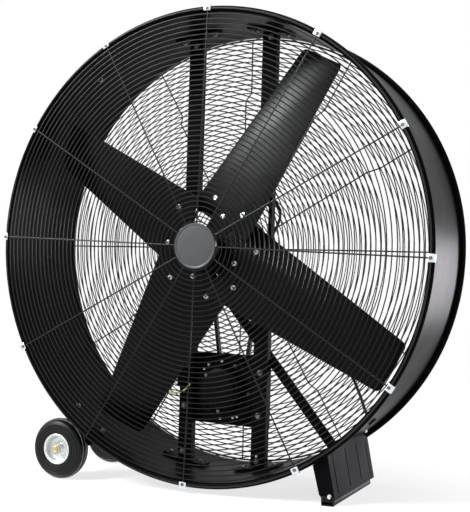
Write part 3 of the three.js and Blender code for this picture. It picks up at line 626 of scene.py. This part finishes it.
guard_low, guard_high = ((corner.y - AXIS.y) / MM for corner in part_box("front_guard"))
spoke_y = guard_high - SPOKE_WIRE
front_wires = joined("front_guard_wires", [
    ring_set("front_rings", HUB_RING, LAST_RING, guard_low + GUARD_WIRE),
    ring_set("front_edge", EDGE_RING, EDGE_RING, guard_low + EDGE_WIRE, EDGE_WIRE),
    spoke_set("front_spokes", [(HUB_RING, spoke_y, 0), (EDGE_RING, spoke_y, 0)], FRONT_TURN),
])
add_piece("front_guard_wires", front_wires, wire_paint, fan_frame, "frame", "guard_paint", "front_guard")

# %% [markdown]
# The rear guard steps forwards inside a ring of about two thirds of its size. One flat set of rings
# would miss that step. So it is made of two flat sets, one for the disc and one for the rim, and its
# spokes have a jog where they cross from one to the other.

# %% Rear guard
REAR_TURN = math.radians(-2.4)
STEP_START, STEP_END = 381.0, 407.0
REAR_INSET, REAR_EDGE_WIRE = 2.0, 2.4
rear_low, rear_high = ((corner.y - AXIS.y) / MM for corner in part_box("rear_guard"))
rim_radius = (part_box("rear_guard")[1].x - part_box("rear_guard")[0].x) / 2 / MM
rear_last, rear_edge = rim_radius - 12, rim_radius - 2.5
disc_y, rim_y = rear_low + REAR_INSET, rear_high - REAR_INSET
jog = [
    (HUB_RING, disc_y, 0),
    (STEP_START, disc_y, 0),
    (STEP_END, rim_y, 0),
    (rim_radius - REAR_INSET, rim_y, 0),
]
rear_wires = joined("rear_guard_wires", [
    ring_set("rear_disc", HUB_RING, STEP_START, disc_y - GUARD_WIRE / 2),
    ring_set("rear_rim", STEP_END, rear_last, rim_y - GUARD_WIRE / 2),
    ring_set("rear_edge", rear_edge, rear_edge, rim_y, REAR_EDGE_WIRE),
    spoke_set("rear_spokes", jog, REAR_TURN),
])
add_piece("rear_guard_wires", rear_wires, wire_paint, fan_frame, "frame", "guard_paint", "rear_guard")

# %% [markdown]
# Each blade is a flat plate with rounded tip corners, set at a pitch and leaning back towards its
# tip. A plane with a Solidify and a Bevel modifier would do. Here the outline is drawn flat, given
# its thickness and a small edge radius, and turned onto the rotor exactly as its node is, because
# the bolts need the same turn.

# %% Blades
BLADES = 4
BLADE_TURN, PITCH, CONE = math.radians(58.8), math.radians(16.2), math.radians(6.5)
APEX_Y = -95.0
BLADE_SHEET = 3.0
BLADE_ROOT, BLADE_TIP = 62 / math.cos(CONE), 520 / math.cos(CONE)
blade_corners = [
    (BLADE_ROOT, -98.7, 5),
    (BLADE_TIP, -78.7, 12),
    (BLADE_TIP, 46, 16),
    (BLADE_ROOT, 106.5, 5),
]
on_blade = (
    Matrix.Translation((0, APEX_Y, 0))
    @ Matrix.Rotation(CONE, 4, "Z")
    @ Matrix.Rotation(-PITCH, 4, "X")
)


def blade_place(number):
    """Takes the drawing of a blade to its place in the fan."""
    return Matrix.Rotation(-(BLADE_TURN + number * 2 * math.pi / BLADES), 4, "Y") @ on_blade


def rounded(corners, steps=5):
    """Corners of (x, z, radius) with each corner turned into a short curve."""
    points = []
    for index, (x, z, radius) in enumerate(corners):
        here = Vector((x, z))
        before = Vector(corners[index - 1][:2]) - here
        after = Vector(corners[(index + 1) % len(corners)][:2]) - here
        reach = radius / math.tan(before.angle(after) / 2)
        start = here + before.normalized() * reach
        end = here + after.normalized() * reach
        for step in range(steps + 1):
            share = step / steps
            points.append(start.lerp(here, share).lerp(here.lerp(end, share), share))
    return points


def bevel(shape, edges, width, profile=0.5):
    bmesh.ops.bevel(shape, geom=edges, offset=width, segments=2, profile=profile, affect="EDGES")


def plate_mesh(name, outline, sheet, edge=0.6):
    """A flat plate in the XZ plane, with its middle on it and with bevelled edges."""
    shape = bmesh.new()
    front_loop = [shape.verts.new((x, -sheet / 2, z)) for x, z in outline]
    back_loop = [shape.verts.new((x, sheet / 2, z)) for x, z in outline]
    shape.faces.new(front_loop)
    shape.faces.new(back_loop)
    for index in range(len(outline)):
        after = (index + 1) % len(outline)
        shape.faces.new((front_loop[index], front_loop[after], back_loop[after], back_loop[index]))
    bmesh.ops.recalc_face_normals(shape, faces=shape.faces)
    rims = [e for e in shape.edges if len({round(v.co.y, 4) for v in e.verts}) == 1]
    bevel(shape, rims, edge)
    return drawn(name, shape, sharp=40)


for number in range(BLADES):
    name = f"blade_plate_{number + 1}"
    plate = plate_mesh(name, rounded(blade_corners), BLADE_SHEET)
    place = fan_frame @ blade_place(number)
    add_piece(name, plate, blade_paint, place, "rotor", "blade_paint", f"blade_{number + 1}")

# %% [markdown]
# Hexagon bolts hold almost everything: three on each blade, and more on the struts, the motor and
# the drum's wall. They could be placed by hand, one object each. Instead one bolt head with its
# washer is modelled, and a tree sets a copy of it on each point and turns it to face the way that
# the point's own direction says, so a list of places is all that a set of bolts needs.

# %% Bolt heads
WASHER_SHEET = 1.2
WASHER_SIDES = 20


def cylinder(shape, sides, radius, low, high):
    """A cylinder round Z between two heights. Returns its vertices."""
    made = bmesh.ops.create_cone(
        shape, cap_ends=True, segments=sides, radius1=radius, radius2=radius, depth=high - low,
        matrix=Matrix.Translation((0, 0, (low + high) / 2)),
    )
    return made["verts"]


def bolt_head(name, radius, height, washer, sides):
    """A chamfered head on a washer, standing on Z = 0 and facing +Z. Six sides make a hexagon."""
    shape = bmesh.new()
    cylinder(shape, WASHER_SIDES, washer, 0, WASHER_SHEET)
    head = cylinder(shape, sides, radius, WASHER_SHEET, WASHER_SHEET + height)
    middle = WASHER_SHEET + height / 2
    rims = [e for e in shape.edges if all(v in head and v.co.z > middle for v in e.verts)]
    bevel(shape, rims, 0.12 * radius, 0.6)
    return drawn(name, shape, sharp=30)


def bolt_tree():
    tree = Grower("bolts_on_points", {"Bolt": "Object", "Material": "Material"})
    settings = {"data_type": "FLOAT_VECTOR"}
    facing = tree.node("GeometryNodeInputNamedAttribute", settings, Name="facing")
    turn = tree.node("FunctionNodeAlignRotationToVector", {"axis": "Z"}, Vector=facing)
    bolt = tree.node("GeometryNodeObjectInfo", output="Geometry", Object=tree.value("Bolt"))
    points = tree.value("Geometry")
    kind = "GeometryNodeInstanceOnPoints"
    tree.finish(tree.node(kind, Points=points, Instance=bolt, Rotation=turn))
    return tree


bolts = bolt_tree()


def add_bolts(name, places, place, material, radius, height, washer,
              body="frame", slot="zinc", sides=6):
    """Bolt heads on a list of (point, direction), both in millimetres in the same frame."""
    seeds = bpy.data.meshes.new(f"{name}_points")
    seeds.from_pydata([point for point, _ in places], [], [])
    facing = seeds.attributes.new("facing", "FLOAT_VECTOR", "POINT")
    facing.data.foreach_set("vector", [value for _, way in places for value in way])
    head = bolt_head(f"{name}_pattern", radius, height, washer, sides)
    pattern = in_scene(f"{name}_pattern", head)
    mesh = bolts.grow(name, seeds, Bolt=pattern, Material=material)
    bpy.data.objects.remove(pattern)
    smooth(mesh, sharp=30)
    add_piece(name, mesh, material, place, body, slot)


# %% [markdown]
# Three nuts in a triangle hold each blade near the hub, and a stud end in black paint stands in
# each: painted shade for the nut's dark middle. Their places could be measured in the fan's frame,
# twelve times. They are given once in the blade's own drawing and take the blade's turn, so they lie
# flat on it. The studs are a second, smaller set on the same points, in black as painted shade.

# %% Bolts on the blades
FORWARDS = Vector((0, -1, 0))
BLADE_BOLTS = [(81, 0), (111, 50), (111, -50)]
blade_places = []
for number in range(BLADES):
    place = blade_place(number)
    for along, across in BLADE_BOLTS:
        point = place @ Vector((along / math.cos(CONE), -BLADE_SHEET / 2, across))
        blade_places.append((point, place.to_3x3() @ FORWARDS))
add_bolts("blade_nuts", blade_places, fan_frame, zinc, radius=5.2, height=3.6, washer=5.9, body="rotor")
# stud ends in black paint: painted shade for the dark middle of each nut
add_bolts("blade_studs", blade_places, fan_frame, blade_paint, radius=2.6, height=4.2, washer=2.6,
          body="rotor", slot="blade_paint", sides=16)

# %% [markdown]
# The hub's boss carries a turned steel collar, the only bright thing behind the badge. A plain
# cylinder would stand for it, but its small chamfers catch the light, so it is turned.

# %% Hub collar
collar_outline = [
    (32.2, -117.5), (33.8, -117.5), (34.4, -116.5), (34.4, -108),
    (33.2, -106.5), (33.2, -90), (32.2, -89),
]
add_piece("hub_collar", turned("hub_collar", collar_outline, 64), steel, fan_frame, "rotor", "steel")

# %% [markdown]
# The bolts on the struts lean with them and face forwards. They hold the strut feet, the motor plate
# and the front bearing bridge. Each of their places was read from the photo, because they aren't
# quite regular, and only the bridge's four are worked out.

# %% Bolts on the struts
STRUT_X = 101.5
STRUT_FRONT = 13.0
strut_points = [
    (-101, 511), (105, 519), (-104.3, -298), (-105.8, -402),
    (101.6, -303), (99.6, -408), (-107, -517), (99, -519),
]
bridge_face = (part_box("bearing_bridge_front")[0].y - AXIS.y) / MM
strut_places = [(Vector((x, STRUT_FRONT, z)), FORWARDS) for x, z in strut_points]
for side in (-1, 1):
    strut_places += [(Vector((side * x, bridge_face, 0)), FORWARDS) for x in (81, STRUT_X + 4)]
add_bolts("strut_bolts", strut_places, leaning_frame, shaded_zinc, radius=6.2, height=4.4, washer=7.5)

# %% [markdown]
# The motor has bolts in its flange and in its bell, and smaller screws round them. A full ring of
# each could be repeated, but the photo shows only some, so they are listed by angle and radius.

# %% Bolts on the motor
MOTOR_DROP = 353.0
FLANGE_FRONT, BELL_RING = 28.0, -8.0
motor_points = [(65.5, 65), (-6, 65), (134, 49.5, BELL_RING), (-88, 49.5, BELL_RING)]
screw_points = [(98, 70), (129, 75), (142, 75), (-98, 75), (-70, 73), (-61, 75)]


def on_motor(angle, radius, along=FLANGE_FRONT):
    """A place round the motor's axis, facing forwards. The angle is in degrees."""
    return polar(radius, math.radians(angle), along) - Vector((0, 0, MOTOR_DROP)), FORWARDS


motor_places = [on_motor(*point) for point in motor_points]
add_bolts("motor_bolts", motor_places, leaning_frame, shaded_zinc, radius=4.2, height=3.4, washer=4.8)
screw_places = [on_motor(*point) for point in screw_points]
screw_places += [(Vector((98.7, STRUT_FRONT, -507)), FORWARDS)]
add_bolts("motor_screws", screw_places, leaning_frame, zinc, radius=2.8, height=2.4, washer=3.0)

# %% [markdown]
# Bolts go through the drum's wall to the axle hangers, and one more stands alone. Their heads are
# inside and face the axis. The foot has one on the outside and a small one in its front flange. The
# heads could be turned by eye, but an angle and a distance along the drum say everything about a
# place on the wall, so a function gives both the point and the way it faces.

# %% Bolts on the wall and the foot
WALL_INSIDE = DRUM_BORE - 0.2
HANGER_ANGLES, HANGER_Y = (-133.7, -123.8), 86


def on_wall(angle, along, radius=WALL_INSIDE, facing=-1):
    """A place on the drum's wall. The angle is in degrees; it faces the axis unless facing is 1."""
    outwards = polar(1, math.radians(angle))
    return outwards * radius + Vector((0, along, 0)), outwards * facing


wall_places = [on_wall(angle, side * HANGER_Y) for angle in HANGER_ANGLES for side in (-1, 1)]
wall_places += [on_wall(126.3, -53)]
add_bolts("wall_bolts", wall_places, fan_frame, shaded_zinc, radius=5.2, height=4.0, washer=6.6)

foot_front = (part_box("foot_bracket")[0].y - AXIS.y) / MM
foot_places = [on_wall(-53.3, 79, DRUM_BORE + WALL, 1), (Vector((319, foot_front, -557)), FORWARDS)]
add_bolts("foot_bolts", foot_places, fan_frame, zinc, radius=4.4, height=3.6, washer=5.4)

# %% [markdown]
# Each of the four strut feet is a curved plate on the wall with two bolts. Where a strut meets the
# wall follows from its distance to the middle, so the angles are worked out rather than measured.

# %% Bolts on the strut feet
SHOE_RADIUS, SHOE_FACE, SHOE_Y = 548.8, 542.7, 23
SHOE_OFFSETS = (-46, 42)
shoe_places = []
for x_side in (-1, 1):
    for z_side in (-1, 1):
        strut_z = math.sqrt(SHOE_RADIUS ** 2 - STRUT_X ** 2)
        angle = math.atan2(z_side * strut_z, x_side * STRUT_X)
        for offset in SHOE_OFFSETS:
            outwards = polar(1, angle + offset / SHOE_RADIUS)
            shoe_places.append((outwards * SHOE_FACE + Vector((0, SHOE_Y, 0)), -outwards))
add_bolts("shoe_bolts", shoe_places, leaning_frame, shaded_zinc, radius=4.6, height=3.6, washer=6.0)

# %% [markdown]
# The clips that hold the guard are small blocks of bent, zinc-plated sheet, each with a screw. They
# could be eleven objects. They are all alike, so one is drawn with bevels and spread round the axis
# as the spokes are. There is a place for each spoke, and the one beside the wheel is left out.

# %% Guard clips
CLIP_SHEET, CLIP_WIDTH, CLIP_REACH, CLIP_EDGE = 2.5, 18.0, 6.0, 1.1
CLIP_INNER = DRUM_BORE + CURL - 5.5
NO_CLIP = 8
cover_back = guard_low - 0.3
cover_front = cover_back - CLIP_SHEET
hook = DRUM_BORE + 2 * CURL + 0.3


def block(shape, low, high, edge):
    """A block with rounded edges between two corners, added to a drawing."""
    made = bmesh.ops.create_cube(shape, size=1)["verts"]
    for vertex in made:
        vertex.co = Vector(high[axis] if vertex.co[axis] > 0 else low[axis] for axis in range(3))
    bevel(shape, [e for e in shape.edges if all(v in made for v in e.verts)], edge)


def clip_mesh():
    shape = bmesh.new()
    half, outside = CLIP_WIDTH / 2, hook + CLIP_SHEET
    block(shape, (CLIP_INNER, cover_front, -half), (outside, cover_back, half), CLIP_EDGE)
    end = cover_front + CLIP_REACH
    block(shape, (hook, cover_front + 0.4, -half), (outside, end, half), CLIP_EDGE)
    return drawn("clip", shape, sharp=30)


def screw_mesh():
    """A pan head, its middle sunk in a round recess."""
    outline = [
        (0, 0), (4.0, 0), (4.2, -0.8), (3.4, -2.1), (2.3, -2.4), (1.9, -2.2), (1.7, -1.2), (0, -1.2),
    ]
    mesh = turned("clip_screw", [(radius, cover_front + along) for radius, along in outline], 24)
    mesh.transform(Matrix.Translation((DRUM_BORE + CURL, 0, 0)))
    return mesh


def repeat_tree():
    tree = Grower("round_the_axis", {
        "Copies": "Int", "Left Out": "Int", "Turn": "Float", "Material": "Material",
    })
    kept = tree.node(
        "FunctionNodeCompare",
        {"data_type": "FLOAT", "operation": "NOT_EQUAL"},
        A=tree.node("GeometryNodeInputIndex"),
        B=tree.value("Left Out"),
    )
    tree.finish(spread_round(tree, tree.value("Geometry"), tree.value("Copies"), Selection=kept))
    return tree


repeated = repeat_tree()
clip_nodes = [f"guard_clip_{number:02d}" for number in range(1, SPOKES)]
for name, pattern, material, replaced in (
    ("zinc_clips", clip_mesh(), zinc, clip_nodes),
    ("clip_screws", screw_mesh(), shaded_zinc, []),
):
    values = {"Copies": SPOKES, "Left_Out": NO_CLIP, "Turn": FRONT_TURN, "Material": material}
    mesh = repeated.grow(name, pattern, **values)
    smooth(mesh, sharp=30)
    add_piece(name, mesh, material, fan_frame, "frame", "zinc", *replaced)

# %% [markdown]
# The badge is a plain round cap, slightly domed inside a raised rim. Nothing is written on it. A flat
# disc would mirror one thing only and look dead, so its face is turned with a slight dome.

# %% Badge
BADGE_RADIUS, FACE_RADIUS = 54, 48
BADGE_DEPTH, DOME = 3.5, 0.9
badge_front = cover_back - BADGE_DEPTH
face_edge = badge_front + 1.2
badge_outline = [
    (0, cover_back), (BADGE_RADIUS - 2, cover_back), (BADGE_RADIUS, cover_back - 0.6),
    (BADGE_RADIUS, face_edge), (BADGE_RADIUS - 1, badge_front + 0.2), (BADGE_RADIUS - 3, badge_front),
    (FACE_RADIUS + 1.2, badge_front + 0.3), (FACE_RADIUS, face_edge),
]
for angle in map(math.radians, (25, 45, 65, 80)):
    badge_outline.append((FACE_RADIUS * math.cos(angle), face_edge - DOME * math.sin(angle)))
badge_outline.append((0, face_edge - DOME))
badge_cap = turned("badge_cap", badge_outline, 96)
add_piece("badge_cap", badge_cap, badge_satin, fan_frame, "frame", "badge", "guard_badge")

# %% [markdown]
# The wheels carry pneumatic tyres. A tyre is round in section, with a step where the rim holds it,
# fine ribs round its side and two pale lines round the tread where the parts of the mould met. The
# rim is pressed steel, plated: rolled lip, barrel, a disc set deep, and a hub tube for the axle. A
# torus and a cylinder would pass from far off, but the ribs and steps draw fine lines of light.

# %% Wheel drawings
TREAD_RADIUS, TYRE_HALF, RIM_HALF, AXLE_HOLE = 75.7, 24.0, 22.5, 7.3
rim_plate = plated("rim_plate", (0.74, 0.75, 0.74, 1), (0.52, 0.55, 0.54, 1), 0.26, metallic=0.75)


def tyre_mesh(name):
    """Radius and depth below the side's highest point, from the bead to the tread."""
    side = [
        (34.8, 4.4), (39.0, 4.2), (40.2, 3.0), (43.4, 2.6), (44.6, 0.9), (47.4, 0.5), (48.0, 1.7),
        (51.4, 1.2), (52.2, 0.1), (54.0, 0.0), (54.8, 1.2), (59.0, 1.2), (59.8, 0.4), (61.2, 0.6),
        (62.0, 1.9), (65.6, 3.3), (66.4, 2.9), (67.6, 3.6), (70.8, 7.6), (73.2, 11.8), (74.8, 16.5),
        (75.5, 20.5), (TREAD_RADIUS, TYRE_HALF - 0.9),
    ]
    return turned(name, both_ends([(radius, depth - TYRE_HALF) for radius, depth in side]))


def rim_mesh(name):
    """Half of the rim, from the hub tube over the disc and the barrel to the lip."""
    half = RIM_HALF
    return turned(name, both_ends([
        (AXLE_HOLE, half - 5), (10.6, half - 5), (11.6, half - 6.4), (12.2, 4.2), (15.5, 2.2),
        (21, 2.0), (24, 3.2), (27.5, 3.4), (30.2, 6.0), (31.2, 10.5), (31.6, half - 4.4),
        (32.6, half - 1.8), (34.6, half - 0.3), (37.2, half - 0.2), (38.4, half - 1.3),
        (37.6, half - 2.4), (34.5, half - 3.2),
    ]), 80)


def nut_mesh(name, side):
    """Axle nut: a round collar, a narrower crown and a hollow end."""
    outline = [
        (AXLE_HOLE, 0), (12, 0), (12, 2.4), (11.2, 3.2), (8.8, 3.4), (8.4, 4.0), (8.2, 6.4),
        (7.4, 7), (4.6, 7), (4.0, 6.4), (4.0, 5.6), (0, 5.6), (0, 5), (AXLE_HOLE, 5),
    ]
    return turned(name, [(radius, side * along) for radius, along in outline], 48)


def line_mesh(name, middle, radius):
    """A mould line that stands a little above the tread."""
    low, high = radius - 0.6, radius + 0.3
    outline = [(low, middle - 1.0), (high, middle - 0.7), (high, middle + 0.7), (low, middle + 1.0)]
    return turned(name, outline)


print("finishes with the rim's", len(bpy.data.materials))

# %% [markdown]
# Both wheels are the same and sit on one axle, so one loop places them. Every piece of a wheel could
# be joined into one. They stay apart, because the tyre and the rim turn with the wheel and the nut
# stays with the axle.

# %% Wheels
WHEEL_Y = 117.0
MOULD_LINES = ((0, TREAD_RADIUS), (9, 74.4))
axle_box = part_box("axle")
WHEEL = ((axle_box[0] + axle_box[1]) / 2 - AXIS) / MM

for end, side in (("front", -1), ("rear", 1)):
    place = fan_frame @ Matrix.Translation(WHEEL + Vector((0, side * WHEEL_Y, 0)))
    body = f"{end}_wheel"
    tyre = tyre_mesh(f"{end}_tyre_round")
    add_piece(f"{end}_tyre_round", tyre, tyre_rubber, place, body, "tyre", f"{end}_tyre")
    rim = rim_mesh(f"{end}_rim_pressed")
    add_piece(f"{end}_rim_pressed", rim, rim_plate, place, body, "rim_paint", f"{end}_rim")
    for number, (middle, radius) in enumerate(MOULD_LINES, 1):
        name = f"{end}_mould_line_{number}"
        add_piece(name, line_mesh(name, side * middle, radius), mould_line, place, body, "tyre")
    cap_low, cap_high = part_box(f"axle_cap_{end}")
    cap_y = ((cap_high if side < 0 else cap_low).y - AXIS.y) / MM
    place = fan_frame @ Matrix.Translation(Vector((WHEEL.x, cap_y, WHEEL.z)))
    name = f"{end}_axle_nut"
    nut = nut_mesh(name, side)
    add_piece(name, nut, yellow_zinc, place, "frame", "yellow_zinc", f"axle_cap_{end}")

# %% [markdown]
# The foot's rubber shoe wraps the bottom of the folded bracket and turns up in front of it. It is a
# moulding, so all its edges are round. An L could be drawn and pulled along the shoe, but its ends
# would stay sharp. Two blocks with rounded edges that overlap have round corners all over.

# %% Foot shoe
SHOE_GAP = 0.3
skid_low, skid_high = ((corner - AXIS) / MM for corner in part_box("foot_skid"))
foot_low = (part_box("foot_bracket")[0] - AXIS) / MM
shoe_shape = bmesh.new()
block(shoe_shape, skid_low, (skid_high.x, skid_high.y, foot_low.z - SHOE_GAP), 4.0)
block(shoe_shape, skid_low, (skid_high.x, foot_low.y - SHOE_GAP, skid_high.z), 1.6)
shoe = drawn("foot_shoe", shoe_shape, sharp=50)
add_piece("foot_shoe", shoe, skid_rubber, fan_frame, "frame", "skid_rubber", "foot_skid")

# %% [markdown]
# The motor's front bell is cast and turned. Its nose is a round step with a small edge radius, and
# that radius draws the thin bright arcs that show where the motor is. The solid's own bell has sharp
# edges, which would draw none, so the bell is turned again with them round.

# %% Motor
MOTOR_RADIUS, NOSE_RADIUS, SHAFT_HOLE = 56.0, 46.0, 8.3
NOSE, BELL = 6.0, 15.0
motor_front = (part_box("motor_front_bell")[0].y - AXIS.y) / MM
bell_outline = [
    (0, 0), (NOSE_RADIUS - 1.6, 0), (NOSE_RADIUS - 0.5, 0.4), (NOSE_RADIUS, 1.5),
    (NOSE_RADIUS, NOSE), (MOTOR_RADIUS - 4.4, NOSE + 1.6), (MOTOR_RADIUS - 1.2, NOSE + 3.2),
    (MOTOR_RADIUS, NOSE + 5.4), (MOTOR_RADIUS, BELL), (SHAFT_HOLE, BELL), (SHAFT_HOLE, NOSE),
    (0, NOSE),
]
bell = turned("motor_bell_cast", [(radius, motor_front + along) for radius, along in bell_outline], 72)
place = leaning_frame @ Matrix.Translation((0, 0, -MOTOR_DROP))
add_piece("motor_bell_cast", bell, motor_paint, place, "frame", "satin_paint", "motor_front_bell")

# %% [markdown]
# The earth wire is the one bright line beside the motor. A chain of short cylinders would show its
# joints. A curve through a few points of its route with a round section bends evenly.

# %% Earth wire
EARTH_WIRE = 2.2
earth_route = [
    (-89, STRUT_FRONT - EARTH_WIRE - 0.5, -344), (-97, 9, -355), (-106, 8, -363),
    (-121, 6, -371), (-138, 7, -372), (-155, 16, -370), (-158, 33, -359), (-152, 40, -347),
    (-143, 42, -344),
]


def wire_mesh(name, points, radius):
    """A round wire along a smooth curve."""
    curve = bpy.data.curves.new(name, "CURVE")
    curve.dimensions = "3D"
    curve.bevel_depth = radius
    curve.bevel_resolution = 4
    curve.use_fill_caps = True
    curve.resolution_u = 8
    spline = curve.splines.new("NURBS")
    spline.points.add(len(points) - 1)
    for point, place in zip(spline.points, points):
        point.co = (*place, 1)
    spline.use_endpoint_u = True
    spline.order_u = 3
    holder = in_scene(name, curve)
    shown = holder.evaluated_get(bpy.context.evaluated_depsgraph_get())
    mesh = bpy.data.meshes.new_from_object(shown)
    bpy.data.objects.remove(holder)
    smooth(mesh)
    return mesh


earth = wire_mesh("earth_wire_round", earth_route, EARTH_WIRE)
add_piece("earth_wire_round", earth, earth_sheath, leaning_frame, "frame", "earth_wire", "earth_wire")

# %% [markdown]
# The fan stands on a plain pale floor before a white background. A white dome and a white floor for
# everything would lift the blacks and lose the shadows. So both are white only where the camera
# looks at them, straight or in a mirror, and give a soft grey as light. The floor keeps its soft
# shadows near the fan and fades to plain white further off.

# %% Floor and background
FLOOR_HALF = 14.0
WHITE = (1, 1, 1, 1)


def seen_directly(tree):
    """1 for rays from the camera, also by a mirror or through glass, and 0 for the others."""
    rays = tree.nodes.new("ShaderNodeLightPath")
    total = rays.outputs["Is Camera Ray"]
    for kind in ("Is Glossy Ray", "Is Transmission Ray"):
        node = tree.nodes.new("ShaderNodeMath")
        node.operation = "ADD"
        node.use_clamp = True
        tree.links.new(total, node.inputs[0])
        tree.links.new(rays.outputs[kind], node.inputs[1])
        total = node.outputs[0]
    return total


def mixed(tree, share, first, second, output):
    """Sends a mix of two shaders to the tree's output."""
    mix = tree.nodes.new("ShaderNodeMixShader")
    for source, slot in zip((share, first.outputs[0], second.outputs[0]), mix.inputs):
        tree.links.new(source, slot)
    tree.links.new(mix.outputs[0], output.inputs["Surface"])


def stage_floor():
    """A pale plane with soft shadows near the fan. Further off the camera sees plain white."""
    half = FLOOR_HALF
    mesh = bpy.data.meshes.new("floor")
    corners = [(-half, -half, 0), (half, -half, 0), (half, half, 0), (-half, half, 0)]
    mesh.from_pydata(corners, [], [(0, 1, 2, 3)])
    finish = Finish("pale_floor")
    finish.set(Base_Color=(0.90, 0.90, 0.90, 1), Roughness=0.9, Specular_IOR_Level=0.1)
    tree = finish.tree
    direct = Socket(finish, seen_directly(tree))
    length = {"operation": "LENGTH"}
    distance = finish.node("ShaderNodeVectorMath", length, "Value", Vector=finish.place)
    share = direct * finish.span(distance, 0.75, 1.0, start=0.6, end=2.4)
    white = tree.nodes.new("ShaderNodeEmission")
    white.inputs["Color"].default_value = WHITE
    mixed(tree, share.socket, finish.surface, white, tree.nodes["Material Output"])
    mesh.materials.append(finish.material)
    floor = in_scene("floor", mesh)


def white_surroundings():
    """White for the camera and in reflections, a soft grey as light."""
    world = bpy.data.worlds.new("surroundings")
    world.use_nodes = True
    tree = world.node_tree
    tree.nodes.clear()
    white = tree.nodes.new("ShaderNodeBackground")
    white.inputs["Color"].default_value = WHITE
    soft = tree.nodes.new("ShaderNodeBackground")
    soft.inputs["Color"].default_value = (0.95, 0.97, 1.0, 1)
    soft.inputs["Strength"].default_value = 0.5
    mixed(tree, seen_directly(tree), soft, white, tree.nodes.new("ShaderNodeOutputWorld"))
    bpy.context.scene.world = world


stage_floor()
white_surroundings()
print("floor", 2 * FLOOR_HALF, "m wide")

# %% [markdown]
# Three soft lamps light the fan. One stands in front, to the left and above, just where the upper
# right blade mirrors it to the camera. A large one overhead lights the tops. A tall one close behind
# on the right gives the drum's outside its pale sheen. One even light would be simpler, but black
# paint shows its form only by what it mirrors.

# %% Lamps
LAMPS = {  # place from the drum's middle and size in metres, power in watts, tint
    "left_front_lamp": ((-2.12, -2.02, 1.98), (0.9, 1.3), 230, (0.97, 1.0, 0.99)),
    "top_lamp": ((0.3, -0.6, 3.6), (3.0, 2.4), 110, (1, 1, 1)),
    "right_rear_lamp": ((1.27, 1.43, -0.42), (0.5, 1.0), 62, (0.97, 0.94, 1.0)),
}
for name, (place, size, power, tint) in LAMPS.items():
    data = bpy.data.lights.new(name, "AREA")
    data.shape = "RECTANGLE"
    data.size, data.size_y = size
    data.energy = power
    data.color = tint
    lamp = in_scene(name, data)
    lamp.location = AXIS + Vector(place)
    lamp.rotation_euler = (-Vector(place)).to_track_quat("-Z", "Y").to_euler()
bpy.context.scene.view_settings.view_transform = "Standard"
print("lamps", len(LAMPS))
